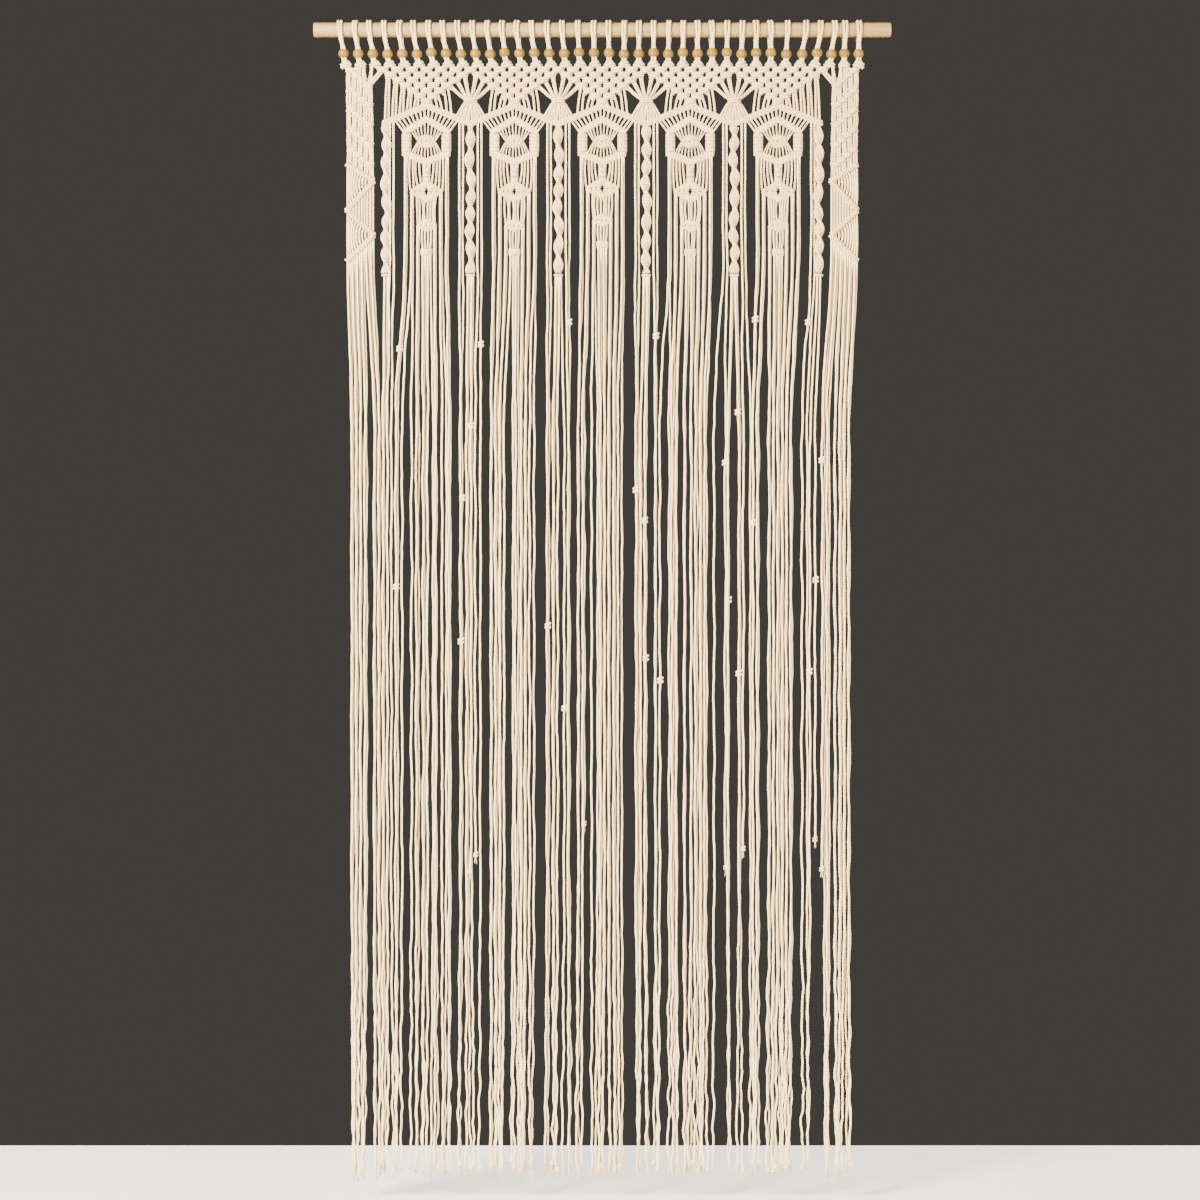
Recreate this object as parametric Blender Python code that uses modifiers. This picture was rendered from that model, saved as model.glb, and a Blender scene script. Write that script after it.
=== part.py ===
"""Macrame bead curtain of natural cotton cord, hung on a wooden rod.

Metres, +Z up. The origin is the middle of the rod's axis, +X runs along the rod,
and the front of the curtain looks towards -Y.
"""
import math
import random

import bmesh
import bpy
from mathutils import Matrix, Vector

# Rod and beads.
ROD_LENGTH = 1.0
ROD_RADIUS = 0.0125
ROD_SIDES = 16
ROD_EDGE = 0.0012
BEAD_COUNT = 36
BEAD_PITCH = 0.0254
BEAD_RADIUS = 0.009
BEAD_BORE = 0.0050
BEAD_DROP = 0.0405
BEAD_SIDES = 8
BEAD_BANDS = 4
BEAD_SCATTER = 0.0016
NECK_TOP = -0.0148
CLEARANCE = 0.0003

# Cords: four under each bead, so 144 strings in all.
CORD_RADIUS = 0.0021
NECK_HALF_WIDTH = 0.0022
NECK_SHARE = 0.60
LOOP_RADIUS = 0.0028
LOOP_CORNERS = 5
STRING_END = -1.985
STRING_JITTER = 0.010
STRING_DEPTH = 0.0024
STRING_BEND = 0.10
STRING_WANDER = 0.0008
STRING_PITCH = 0.0049
STRAIGHT_SHARE = 0.25
ROOT_SHARE = 0.75
ROOT_DEPTH = 0.0020
FLANK_PLACES = (0.0158, 0.0208)
TAIL_OFFSET = 0.0026
SIDE_PITCH = 0.0040

# Scalloped net: five scallops of six beads, and a side panel of three beads at each end.
SCALLOPS = 5
SCALLOP_BEADS = 6
SIDE_BEADS = 3
SCALLOP_WIDTH = SCALLOP_BEADS * BEAD_PITCH
HALF_SCALLOP = SCALLOP_WIDTH / 2
NET_TOP = -0.0600
NET_ROW = 0.00905
NET_NARROWING = 0.02
COLUMN = BEAD_PITCH / 2
NET_ROWS = 8
NET_HOLE = (0.0056, 0.0066)
SHEET_THICKNESS = 0.0080
CORD_COVER = (0.0028, 0.0042)
WALL_COVER = (0.0075, 0.0105)
BAR_RIM = 0.0045
RIM_SHARE = 0.70

# Zigzag bar under the net, and the tied sheaves between its peaks.
ZIGZAG_PEAK = -0.1315
ZIGZAG_VALLEY = -0.1625
TIE_HEIGHT = -0.1237
TIE_HALF_WIDTH = 0.0115

# Hexagon motif under each peak.
HEX_ROOF = -0.1600
HEX_EAVES = -0.1790
HEX_SILL = -0.2160
HEX_FOOT = -0.2290
RING_CENTRE = -0.1965
RING_HALF_WIDTH = 0.0150
RING_HALF_HEIGHT = 0.0110

# The two lozenges and the end knot below it.
# Each is centre height, half width and half height; a hole is width and height.
UPPER_LOZENGE = (-0.2820, 0.0320, 0.0165)
UPPER_LOZENGE_HOLE = (0.0080, 0.0130)
LOWER_LOZENGE = (-0.3390, 0.0180, 0.0105)
END_KNOT = -0.3850
END_KNOT_HALF_WIDTH = 0.0105
END_KNOT_RADIUS = 0.0067
# The middle scallop's two lozenges and end knot hang higher, by these.
MIDDLE_LIFTS = (0.0055, 0.0095, 0.0130)

# Where the strings leave a scallop, counted from its middle: distance there, and the piece.
STRING_ROOTS = (
    (0.0024, "knot"), (0.0072, "knot"), (0.0108, "lower"), (0.0143, "lower"),
    (0.0200, "upper"), (0.0254, "upper"), (0.0300, "foot"), (0.0352, "foot"),
)

# Spiral sinnets of half knots.
SINNET_TOP = ZIGZAG_VALLEY - BAR_RIM - CLEARANCE
SINNET_END = -0.4210
SINNET_BULGES = 8
SINNET_RADIUS = 0.0088
SINNET_WAIST = 0.0058

# Side panels: rows of knots that step down towards the middle, then a zigzag bar.
SIDE_TOP = -0.0690
SIDE_ROWS = 6
SIDE_ROW = 0.0290
SIDE_STEP = 0.0130
SIDE_HALF_WIDTH = 0.0245
SIDE_ZIGZAG = (-0.2330, -0.2660, -0.3130, -0.3595, -0.4045)
SUNK_SHARE = 0.45

COTTON = (0.83, 0.72, 0.56)
BEECH = (0.72, 0.49, 0.25)
PINE = (0.70, 0.52, 0.32)


def material(name, colour, roughness):
    made = bpy.data.materials.new(name)
    made.use_nodes = True
    shader = made.node_tree.nodes["Principled BSDF"]
    shader.inputs["Base Color"].default_value = (*colour, 1.0)
    shader.inputs["Roughness"].default_value = roughness
    shader.inputs["Metallic"].default_value = 0.0
    made.diffuse_color = (*colour, 1.0)
    return made


def collection(name):
    made = bpy.data.collections.new(name)
    bpy.context.scene.collection.children.link(made)
    return made


def add_object(name, data, group):
    made = bpy.data.objects.new(name, data)
    group.objects.link(made)
    return made


def cord_mesh(name, points, radius, sides, shares=None, turns=None, closed=False):
    """A closed tube along the points; shares scale its radius and turns twist it."""
    curve = bpy.data.curves.new(name, "CURVE")
    curve.dimensions = "3D"
    curve.twist_mode = "MINIMUM"
    spline = curve.splines.new("POLY")
    spline.points.add(len(points) - 1)
    for index, place in enumerate(points):
        spline.points[index].co = (*place, 1.0)
        spline.points[index].radius = shares[index] if shares else 1.0
        spline.points[index].tilt = turns[index] if turns else 0.0
    spline.use_cyclic_u = closed
    curve.bevel_depth = radius
    curve.bevel_resolution = 0
    if sides == 3:
        curve.bevel_mode = "OBJECT"
        curve.bevel_object = triangle_profile(radius)
    curve.use_fill_caps = True
    holder = add_object(name, curve, scraps)
    ready = holder.evaluated_get(bpy.context.evaluated_depsgraph_get())
    mesh = bpy.data.meshes.new_from_object(ready)
    bpy.data.objects.remove(holder)
    bpy.data.curves.remove(curve)
    shell = bmesh.new()
    shell.from_mesh(mesh)
    bmesh.ops.remove_doubles(shell, verts=shell.verts, dist=0.00001)
    bmesh.ops.recalc_face_normals(shell, faces=shell.faces)
    shell.to_mesh(mesh)
    shell.free()
    return mesh


def triangle_profile(radius):
    """The three-sided section of a string, made once for each radius."""
    name = f"string_section_{round(radius * 1e6)}"
    if name in bpy.data.objects:
        return bpy.data.objects[name]
    curve = bpy.data.curves.new(name, "CURVE")
    curve.dimensions = "3D"
    spline = curve.splines.new("POLY")
    spline.points.add(2)
    for index in range(3):
        angle = math.radians(90 + 120 * index)
        spline.points[index].co = (radius * math.cos(angle), radius * math.sin(angle), 0, 1)
    spline.use_cyclic_u = True
    return add_object(name, curve, scraps)


def cord(group, points, radius, sides=4, **options):
    """A tube that will be joined to the others of its group."""
    name = f"{group.name}_cord"
    made = add_object(name, cord_mesh(name, points, radius, sides, **options), group)
    made.hide_render = True
    made.display_type = "WIRE"


def join_cords(body, group):
    body.data.materials.append(cotton)
    join = body.modifiers.new("joined cords", "BOOLEAN")
    join.operation = "UNION"
    join.operand_type = "COLLECTION"
    join.collection = group
    join.solver = "EXACT"


def bead_x(index):
    return (index - (BEAD_COUNT - 1) / 2) * BEAD_PITCH


def lean(index):
    """How far the loop over the rod stands to one side of the knot it carries."""
    share = index / (BEAD_COUNT - 1)
    left = -0.0095 * (1 - smooth(share, 0.30, 0.62))
    right = 0.0090 * smooth(share, 0.84, 0.88) * (1 - smooth(share, 0.94, 0.98))
    return left + right


def smooth(value, low, high):
    share = min(1.0, max(0.0, (value - low) / (high - low)))
    return share * share * (3 - 2 * share)


def scallop_x(index):
    return (index - (SCALLOPS - 1) / 2) * SCALLOP_WIDTH


def side_x(side):
    return side * (BEAD_COUNT - SIDE_BEADS) / 2 * BEAD_PITCH


def add_rod():
    half = ROD_LENGTH / 2
    bpy.ops.mesh.primitive_cylinder_add(
        vertices=ROD_SIDES, radius=ROD_RADIUS, depth=ROD_LENGTH, rotation=(0, math.pi / 2, 0)
    )
    rod = bpy.context.object
    rod.name = "rod"
    rod.data.name = "rod"
    rod.data.transform(rod.matrix_world)
    rod.matrix_world = Matrix.Identity(4)
    shell = bmesh.new()
    shell.from_mesh(rod.data)
    rims = [edge for edge in shell.edges if all(abs(v.co.x) > half - 1e-5 for v in edge.verts)]
    bmesh.ops.bevel(shell, geom=rims, offset=ROD_EDGE, segments=1, affect="EDGES", profile=0.5)
    shell.to_mesh(rod.data)
    shell.free()
    rod.data.shade_smooth()
    rod.data.set_sharp_from_angle(angle=math.radians(35))
    for group in rod.users_collection:
        group.objects.unlink(rod)
    parts.objects.link(rod)
    rod.data.materials.append(pine)


def bead_mesh():
    """A bored ball: its half section, open at the bore, is turned about Z."""
    shell = bmesh.new()
    bore_angle = math.acos(BEAD_BORE / BEAD_RADIUS)
    section = []
    for band in range(BEAD_BANDS + 1):
        angle = bore_angle * (1 - 2 * band / BEAD_BANDS)
        place = (BEAD_RADIUS * math.cos(angle), 0, BEAD_RADIUS * math.sin(angle))
        section.append(shell.verts.new(place))
    edges = [shell.edges.new(pair) for pair in zip(section, section[1:] + section[:1])]
    bmesh.ops.spin(
        shell,
        geom=section + edges,
        cent=(0, 0, 0),
        axis=(0, 0, 1),
        angle=math.tau,
        steps=BEAD_SIDES,
        use_merge=True,
    )
    bmesh.ops.remove_doubles(shell, verts=shell.verts, dist=0.00001)
    bmesh.ops.recalc_face_normals(shell, faces=shell.faces)
    mesh = bpy.data.meshes.new("bead")
    shell.to_mesh(mesh)
    shell.free()
    mesh.shade_smooth()
    mesh.materials.append(beech)
    return mesh


def add_beads():
    """Each bead rides on its neck, which runs straight from the knot to the loop."""
    mesh = bead_mesh()
    scatter = random.Random(5)
    for index in range(BEAD_COUNT):
        drop = BEAD_DROP + scatter.uniform(-BEAD_SCATTER, BEAD_SCATTER)
        foot, head = neck_ends(index)
        share = (foot.z + drop) / (foot.z - head.z)
        bead = add_object(f"bead_{index + 1:02d}", mesh, parts)
        bead.location = foot.lerp(head, share)
        bead.rotation_euler = (0, math.atan2(head.x - foot.x, head.z - foot.z), 0)


def neck_ends(index):
    foot = Vector((bead_x(index), 0, NET_TOP))
    head = Vector((bead_x(index) + lean(index), 0, NECK_TOP))
    return foot, head


class Sheet:
    """A flat graph of knots in the plane of the curtain; the cells between them are gaps."""

    def __init__(self):
        self.shell = bmesh.new()
        self.weights = self.shell.verts.layers.deform.verify()
        self.knots = {}
        self.gaps = []

    def knot(self, place, share=1.0):
        """The vertex at a place; share is its part of the full thickness."""
        key = (round(place[0] * 1e5 + 0.3), round(place[1] * 1e5 + 0.3))
        if key not in self.knots:
            vert = self.shell.verts.new((place[0], 0, place[1]))
            vert[self.weights][0] = share
            self.knots[key] = vert
        return self.knots[key]

    def cell(self, places, cover=None, hole=None, share=1.0):
        """A cell with a gap left inside cords and bars, or of a stated width and height."""
        face = self.shell.faces.new([self.knot(place, share) for place in places])
        if cover is None and hole is None:
            return
        wide = max(place[0] for place in places) - min(place[0] for place in places)
        tall = max(place[1] for place in places) - min(place[1] for place in places)
        if hole is None:
            hole = (wide - 2 * cover[0], tall - 2 * cover[1])
        self.gaps.append((face, hole[0] / wide, hole[1] / tall))

    def fan(self, places):
        """A cell without a gap, sunk towards its middle."""
        x = sum(place[0] for place in places) / len(places)
        z = sum(place[1] for place in places) / len(places)
        self.knot((x, z), SUNK_SHARE)
        for place, following in zip(places, places[1:] + places[:1]):
            self.cell([place, following, (x, z)])

    def band(self, upper, lower, cover=None):
        """The cells between two bars whose points answer one another; sunk if no cover is given."""
        for index in range(len(upper) - 1):
            corners = [upper[index], upper[index + 1], lower[index + 1], lower[index]]
            if cover is None:
                self.fan(corners)
            else:
                self.cell(corners, cover=cover)

    def solid(self, name):
        """Thick at the knots and bars, and drawn to an edge round each gap."""
        faces = [face for face, wide, tall in self.gaps]
        for face in self.shell.faces:
            face.normal_update()
            if face.normal.y > 0:
                face.normal_flip()
        bmesh.ops.inset_individual(self.shell, faces=faces, thickness=0.0002)
        for face, wide, tall in self.gaps:
            xs = [vert.co.x for vert in face.verts]
            zs = [vert.co.z for vert in face.verts]
            middle = Vector(((min(xs) + max(xs)) / 2, 0, (min(zs) + max(zs)) / 2))
            bmesh.ops.scale(
                self.shell, vec=(wide, 1, tall), space=Matrix.Translation(-middle), verts=face.verts
            )
            for vert in face.verts:
                vert[self.weights][0] = 0.0
        bmesh.ops.delete(self.shell, geom=faces, context="FACES_ONLY")
        mesh = bpy.data.meshes.new(name)
        self.shell.to_mesh(mesh)
        self.shell.free()
        sheet = add_object(name, mesh, parts)
        sheet.vertex_groups.new(name="thickness")
        wall = sheet.modifiers.new("thickness", "SOLIDIFY")
        wall.thickness = SHEET_THICKNESS
        wall.offset = 0
        wall.vertex_group = "thickness"
        wall.thickness_vertex_group = 0.0
        edge = sheet.modifiers.new("edge of each gap", "WELD")
        edge.merge_threshold = 0.00002
        return sheet


def scallop_knot(centre, column, row):
    """A knot of the scallop's lattice; columns are half a bead pitch apart."""
    narrow = 1 - NET_NARROWING * max(0, row - 2)
    return centre + column * COLUMN * narrow, NET_TOP - NET_ROW * (row - 1)


def diamond(knot, column, row):
    steps = ((-1, 0), (0, 1), (1, 0), (0, -1))
    return [knot(column + dx, row + dz) for dx, dz in steps]


def neck_feet(index):
    """The two corners where a bead's neck leaves the knot under it."""
    foot = neck_ends(index)[0]
    return [(foot.x + side * NECK_HALF_WIDTH, foot.z) for side in (-1, 1)]


def add_neck(sheet, index):
    """The cords that rise from a knot, through the bead, to the ring round the rod."""
    left, right = neck_feet(index)
    head = neck_ends(index)[1]
    top = [(head.x + side * NECK_HALF_WIDTH, head.z) for side in (-1, 1)]
    for place in top:
        sheet.knot(place, NECK_SHARE)
    sheet.cell([left, right, top[1], top[0]])


def add_net(sheet, number):
    centre = scallop_x(number)

    def knot(column, row):
        return scallop_knot(centre, column, row)

    for row in range(2, NET_ROWS):
        reach = NET_ROWS - 1 - row
        for place, column in enumerate(range(-reach, reach + 1, 2)):
            corners = diamond(knot, column, row)
            if row == 2:
                bead = SIDE_BEADS + number * SCALLOP_BEADS + place
                corners = corners[:3] + neck_feet(bead)[::-1]
            sheet.cell(corners, hole=NET_HOLE)


def zigzag(centre, column):
    """A point of the zigzag bar, counted in columns from a scallop's middle."""
    share = abs(column) / SCALLOP_BEADS
    return centre + column * COLUMN, ZIGZAG_PEAK + (ZIGZAG_VALLEY - ZIGZAG_PEAK) * share


def add_rim(sheet, line, step, tapered=False):
    """The outer half of a bar; a tapered one starts from nothing, beside other cords."""
    rim = [(x + step[0], z + step[1]) for x, z in line]
    first = 1 if tapered else 0
    for place in rim[first:]:
        sheet.knot(place, RIM_SHARE)
    if tapered:
        sheet.cell([line[0], line[1], rim[1]])
    for index in range(first, len(line) - 1):
        sheet.cell([line[index], line[index + 1], rim[index + 1], rim[index]])


def add_drops(sheet, centre, side, inner):
    """Cords from the net's edge to the zigzag bar, tied into a sheaf at an inner valley."""
    edge = [scallop_knot(centre, side * step, NET_ROWS - step) for step in range(7)]
    bar = [zigzag(centre, side * step) for step in range(7)]
    add_rim(sheet, bar[3:], (0, -BAR_RIM), tapered=True)
    if not inner:
        sheet.band(edge, bar, CORD_COVER)
        return
    sheet.band(edge[:3], bar[:3], CORD_COVER)
    valley = centre + side * HALF_SCALLOP
    tie = [(valley - side * TIE_HALF_WIDTH * (1 - step / 2), TIE_HEIGHT) for step in range(3)]
    sheet.cell([edge[2], edge[3], tie[0], bar[4], bar[3], bar[2]], cover=CORD_COVER)
    sheet.band(edge[3:6], tie, CORD_COVER)
    sheet.band(tie, bar[4:], CORD_COVER)
    if side > 0:
        facing = scallop_knot(centre + SCALLOP_WIDTH, -5, NET_ROWS - 5)
        sheet.fan([edge[5], edge[6], facing, tie[2]])


def lozenge(centre, height, half_width, half_height, side):
    """The upper or lower edge of a lozenge, in five points from left to right."""
    places = []
    for step in range(-2, 3):
        share = step / 2
        places.append((centre + share * half_width, height + side * half_height * (1 - abs(share))))
    return places


def motif_shapes(index):
    """A scallop's two lozenges and end knot, as height, half width and half height."""
    lifts = MIDDLE_LIFTS if index == SCALLOPS // 2 else (0, 0, 0)
    shapes = (UPPER_LOZENGE, LOWER_LOZENGE, (END_KNOT, END_KNOT_HALF_WIDTH, 0))
    return [(shape[0] + lift, *shape[1:]) for shape, lift in zip(shapes, lifts)]


def add_motif(sheet, index):
    """Hexagon with its inner ring, two lozenges, and the cords down to the end knot."""
    centre = scallop_x(index)
    columns = range(-3, 4)
    bar = [zigzag(centre, column) for column in columns]
    roof = [(centre + c * COLUMN, HEX_ROOF + (HEX_EAVES - HEX_ROOF) * abs(c) / 3) for c in columns]
    foot = [(centre + c * COLUMN, foot_height(abs(c) * COLUMN)) for c in columns]
    above = lozenge(centre, RING_CENTRE, RING_HALF_WIDTH, RING_HALF_HEIGHT, 1)
    below = lozenge(centre, RING_CENTRE, RING_HALF_WIDTH, RING_HALF_HEIGHT, -1)
    sheet.band(bar, roof, CORD_COVER)
    add_rim(sheet, [roof[0], foot[0]], (-BAR_RIM, 0))
    add_rim(sheet, [roof[6], foot[6]], (BAR_RIM, 0))
    sheet.band(roof[1:6], above, CORD_COVER)
    sheet.band(below, foot[1:6], CORD_COVER)
    sheet.cell([roof[0], roof[1], above[0], foot[1], foot[0]], cover=WALL_COVER)
    sheet.cell([roof[5], roof[6], foot[6], foot[5], above[4]], cover=WALL_COVER)
    sheet.fan(above + below[3:0:-1])
    upper_shape, lower_shape, end_shape = motif_shapes(index)
    above = lozenge(centre, *upper_shape, 1)
    below = lozenge(centre, *upper_shape, -1)
    sheet.band(foot[1:6], above, CORD_COVER)
    sheet.cell([above[0], above[1], below[1]])
    sheet.cell([above[3], above[4], below[3]])
    sheet.cell(above[1:4] + below[3:0:-1], hole=UPPER_LOZENGE_HOLE)
    left, top, right = lozenge(centre, *lower_shape, 1)[::2]
    bottom = (centre, lower_shape[0] - lower_shape[2])
    sheet.band(below[1:4], [left, top, right], CORD_COVER)
    sheet.fan([left, top, right, bottom])
    knot = lozenge(centre, *end_shape, 1)[::2]
    sheet.band([left, bottom, right], knot, CORD_COVER)
    add_rim(sheet, foot[1::-1], (0, -BAR_RIM), tapered=True)
    add_rim(sheet, foot[5:7], (0, -BAR_RIM), tapered=True)


def foot_height(offset):
    """The height of a hexagon's lower edge at a distance from its middle."""
    return HEX_FOOT + (HEX_SILL - HEX_FOOT) * offset / (3 * COLUMN)


def add_end_knots():
    turns = [math.radians(45)] * 2
    for index in range(SCALLOPS):
        height, half_width, _ = motif_shapes(index)[2]
        reach = half_width + CORD_RADIUS
        ends = [(scallop_x(index) + side * reach, 0, height) for side in (-1, 1)]
        cord(macrame_cords, ends, END_KNOT_RADIUS, turns=turns)


def side_beads(side):
    """The three beads of a side panel from its outer side, then the first of the scallops."""
    beads = list(range(SIDE_BEADS + 1))
    return beads if side < 0 else [BEAD_COUNT - 1 - bead for bead in beads]


def side_line(side, outer, inner, steps):
    """Evenly spaced points from a side panel's outer edge to its inner one."""
    places = []
    for step in range(steps + 1):
        share = step / steps
        x = side_x(side) + side * SIDE_HALF_WIDTH * (1 - 2 * share)
        places.append((x, outer + (inner - outer) * share))
    return places


def add_side_panel(sheet, side):
    """Slanted rows of knots with cords between them, over a zigzag bar filled with cords."""
    rows = []
    for row in range(SIDE_ROWS):
        outer = SIDE_TOP - SIDE_ROW * row
        rows.append(side_line(side, outer, outer - SIDE_STEP * min(1, row / 2), 4))
    rows.append(side_line(side, SIDE_ZIGZAG[0], SIDE_ZIGZAG[1], 4))
    for upper, lower in zip(rows, rows[1:]):
        sheet.band(upper, lower)
    top = rows[0]
    outer, middle, inner, next_bead = [neck_feet(bead)[::side] for bead in side_beads(side)]
    crossing = (side * SCALLOPS / 2 * SCALLOP_WIDTH, NET_TOP - NET_ROW)
    saddle = (crossing[0], crossing[1] + BAR_RIM)
    sheet.cell([*outer, top[0], top[1]])
    sheet.cell([*middle, top[1], top[2], top[3]])
    sheet.cell([*inner, top[3], top[4]])
    sheet.cell([crossing, top[4], inner[0], saddle, next_bead[1]])
    sheet.fan([*rows[-1], (rows[-1][0][0], SIDE_ZIGZAG[2])])
    inner_x = rows[-1][4][0]
    outer_x = rows[-1][0][0]
    sheet.fan([(inner_x, SIDE_ZIGZAG[1]), (outer_x, SIDE_ZIGZAG[2]), (inner_x, SIDE_ZIGZAG[3])])
    last = side_line(side, SIDE_ZIGZAG[4], SIDE_ZIGZAG[3], 1)
    sheet.fan([(outer_x, SIDE_ZIGZAG[2]), *last])
    add_rim(sheet, last, (0, -BAR_RIM))


def add_sheet():
    """The knotted part of the curtain, in one piece."""
    sheet = Sheet()
    for index in range(SCALLOPS):
        centre = scallop_x(index)
        add_net(sheet, index)
        add_drops(sheet, centre, -1, index > 0)
        add_drops(sheet, centre, 1, index < SCALLOPS - 1)
        add_motif(sheet, index)
    for side in (-1, 1):
        add_side_panel(sheet, side)
    for index in range(BEAD_COUNT):
        add_neck(sheet, index)
    return sheet.solid("macrame")


def add_loops():
    """A ring of cord round the rod for each bead, flat side to the rod."""
    inner = ROD_RADIUS + CLEARANCE + LOOP_RADIUS / 2
    reach = inner / math.cos(math.pi / LOOP_CORNERS)
    for index in range(BEAD_COUNT):
        head = neck_ends(index)[1]
        ring = []
        for corner in range(LOOP_CORNERS):
            angle = math.tau * (corner + 0.5) / LOOP_CORNERS - math.pi / 2
            ring.append((head.x, reach * math.cos(angle), reach * math.sin(angle)))
        turns = [math.pi] * LOOP_CORNERS
        cord(macrame_cords, ring, LOOP_RADIUS, sides=3, turns=turns, closed=True)


def sinnet_x(index):
    """The sinnets hang from the valleys; the outermost two stand a little inwards."""
    edge = 0.006 if index == 0 else -0.006 if index == SCALLOPS else 0.0
    return scallop_x(index) - HALF_SCALLOP + edge


def add_sinnet(draw, index):
    """Half knots that turn as they go down, and the strings that they end in."""
    name = f"sinnet_{index + 1}"
    group = collection(f"{name}_cords")
    steps = 2 * SINNET_BULGES
    shares = [1.0 if step % 2 else SINNET_WAIST / SINNET_RADIUS for step in range(steps + 1)]
    turns = [math.radians(45) * step for step in range(steps + 1)]
    places = []
    for step in range(steps + 1):
        height = SINNET_TOP + (SINNET_END - SINNET_TOP) * step / steps
        places.append((sinnet_x(index), 0, height))
    mesh = cord_mesh(name, places, SINNET_RADIUS, 4, shares=shares, turns=turns)
    sinnet = add_object(name, mesh, parts)
    count = 2 if index in (0, SCALLOPS) else 4
    for number in range(count):
        x = sinnet_x(index) + (1 if number >= count / 2 else -1) * TAIL_OFFSET
        add_string(group, draw, (x, SINNET_END + ROOT_DEPTH), x, number, spread=True)
    join_cords(sinnet, group)


def add_string(group, draw, top, x, number, spread=False):
    """A hanging string; one that spreads goes out to its own place before it drops."""
    depth = STRING_DEPTH if number % 2 else -STRING_DEPTH
    if not spread:
        depth *= STRAIGHT_SHARE
    end = STRING_END + draw.uniform(-STRING_JITTER, STRING_JITTER)
    x += draw.uniform(-STRING_WANDER, STRING_WANDER)
    places = [(top[0], depth, top[1])]
    if spread:
        places.append((x, depth, top[1] + (end - top[1]) * STRING_BEND))
    places.append((x + draw.uniform(-STRING_WANDER, STRING_WANDER), depth, end))
    shares = [ROOT_SHARE] + [1.0] * (len(places) - 1)
    cord(group, places, CORD_RADIUS, sides=3, shares=shares)


def add_scallop_strings(draw, index):
    """The strings of a scallop's hexagon, lozenges and end knot, and beside the sinnets."""
    centre = scallop_x(index)
    upper, lower, knot = [shape[0] for shape in motif_shapes(index)]
    for side in (-1, 1):
        for number, (offset, piece) in enumerate(STRING_ROOTS):
            heights = {"knot": knot, "lower": lower, "upper": upper, "foot": foot_height(offset)}
            x = centre + side * (number + 0.5) * STRING_PITCH
            add_string(macrame_cords, draw, (centre + side * offset, heights[piece]), x, number)
        for number, place in enumerate(FLANK_PLACES):
            x = centre + side * (HALF_SCALLOP - place)
            top = zigzag(centre, (x - centre) / COLUMN)
            add_string(macrame_cords, draw, top, x, number)


def add_side_strings(draw, side):
    outer = side_x(side) + side * SIDE_HALF_WIDTH
    rise = (SIDE_ZIGZAG[3] - SIDE_ZIGZAG[4]) / (2 * SIDE_HALF_WIDTH)
    for number in range(12):
        x = side_x(side) + (number - 5.5) * SIDE_PITCH
        top = (x, SIDE_ZIGZAG[4] + rise * abs(x - outer))
        add_string(macrame_cords, draw, top, x, number)


for old in list(bpy.data.objects):
    bpy.data.objects.remove(old)
parts = collection("bead_curtain")
macrame_cords = collection("macrame_cords")
scraps = collection("sections")
cotton = material("cotton", COTTON, 0.9)
beech = material("beech", BEECH, 0.5)
pine = material("pine", PINE, 0.55)
draw = random.Random(11)

add_rod()
add_beads()
add_loops()
add_end_knots()
for index in range(SCALLOPS):
    add_scallop_strings(draw, index)
for side in (-1, 1):
    add_side_strings(draw, side)
join_cords(add_sheet(), macrame_cords)
for index in range(SCALLOPS + 1):
    add_sinnet(draw, index)
for scrap in list(scraps.objects):
    bpy.data.objects.remove(scrap)
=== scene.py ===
import random
from math import acos, atan2, ceil, copysign, cos, pi, radians, sin, sqrt, tau

import bmesh
import bpy
import numpy as np
from mathutils import Matrix, Vector


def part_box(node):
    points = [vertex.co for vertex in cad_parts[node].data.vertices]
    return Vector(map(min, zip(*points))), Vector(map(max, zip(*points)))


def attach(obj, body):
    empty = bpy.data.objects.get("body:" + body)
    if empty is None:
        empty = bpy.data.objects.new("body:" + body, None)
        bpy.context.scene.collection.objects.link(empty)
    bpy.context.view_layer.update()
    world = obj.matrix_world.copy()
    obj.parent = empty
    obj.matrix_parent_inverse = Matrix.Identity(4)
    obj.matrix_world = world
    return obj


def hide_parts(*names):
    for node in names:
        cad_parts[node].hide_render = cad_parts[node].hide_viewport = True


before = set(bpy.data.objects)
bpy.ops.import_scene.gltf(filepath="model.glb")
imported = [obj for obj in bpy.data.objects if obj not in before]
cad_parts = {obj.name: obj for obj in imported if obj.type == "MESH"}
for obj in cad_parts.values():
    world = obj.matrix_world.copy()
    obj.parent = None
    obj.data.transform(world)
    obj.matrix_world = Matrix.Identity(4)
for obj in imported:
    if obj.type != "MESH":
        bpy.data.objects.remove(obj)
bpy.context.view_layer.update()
print("frame loaded")

# places that every piece shares, in metres
layout = {
    "beadCount": 36, "beadPitch": 0.0254, "sideBeads": 3, "scallops": 5, "scallopBeads": 6,
    "netTop": -0.06,  # knots under the beads
    "netRow": 0.00905, "netNarrowing": 0.02, "netRows": 8,
    "zigzagPeak": -0.1315, "zigzagValley": -0.1625,
    "loopHead": -0.0148, "rodRadius": 0.0125, "stringEnd": -1.985,
    "leanLeft": (-0.0095, 0.3, 0.62),  # how far loops lean, and between which shares of the width it ends
    "leanRight": (0.009, 0.84, 0.88, 0.94, 0.98),
}
column = layout["beadPitch"] / 2
scallopWidth = layout["scallopBeads"] * layout["beadPitch"]
halfScallop = scallopWidth / 2

cordLook = {
    "radius": 0.002, "sides": 6,
    "lay": 0.015, "plies": 3.0,  # length in which a ply turns once
    "mapShift": 0.0037, "toneShift": 0.618,  # from one cord to the next
}

def mixed(start, end, share):
    return start + (end - start) * share

def ease(value, low, high):
    share = min(1.0, max(0.0, (value - low) / (high - low)))
    return share * share * (3 - 2 * share)

def beadX(index):
    return (index - (layout["beadCount"] - 1) / 2) * layout["beadPitch"]

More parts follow.
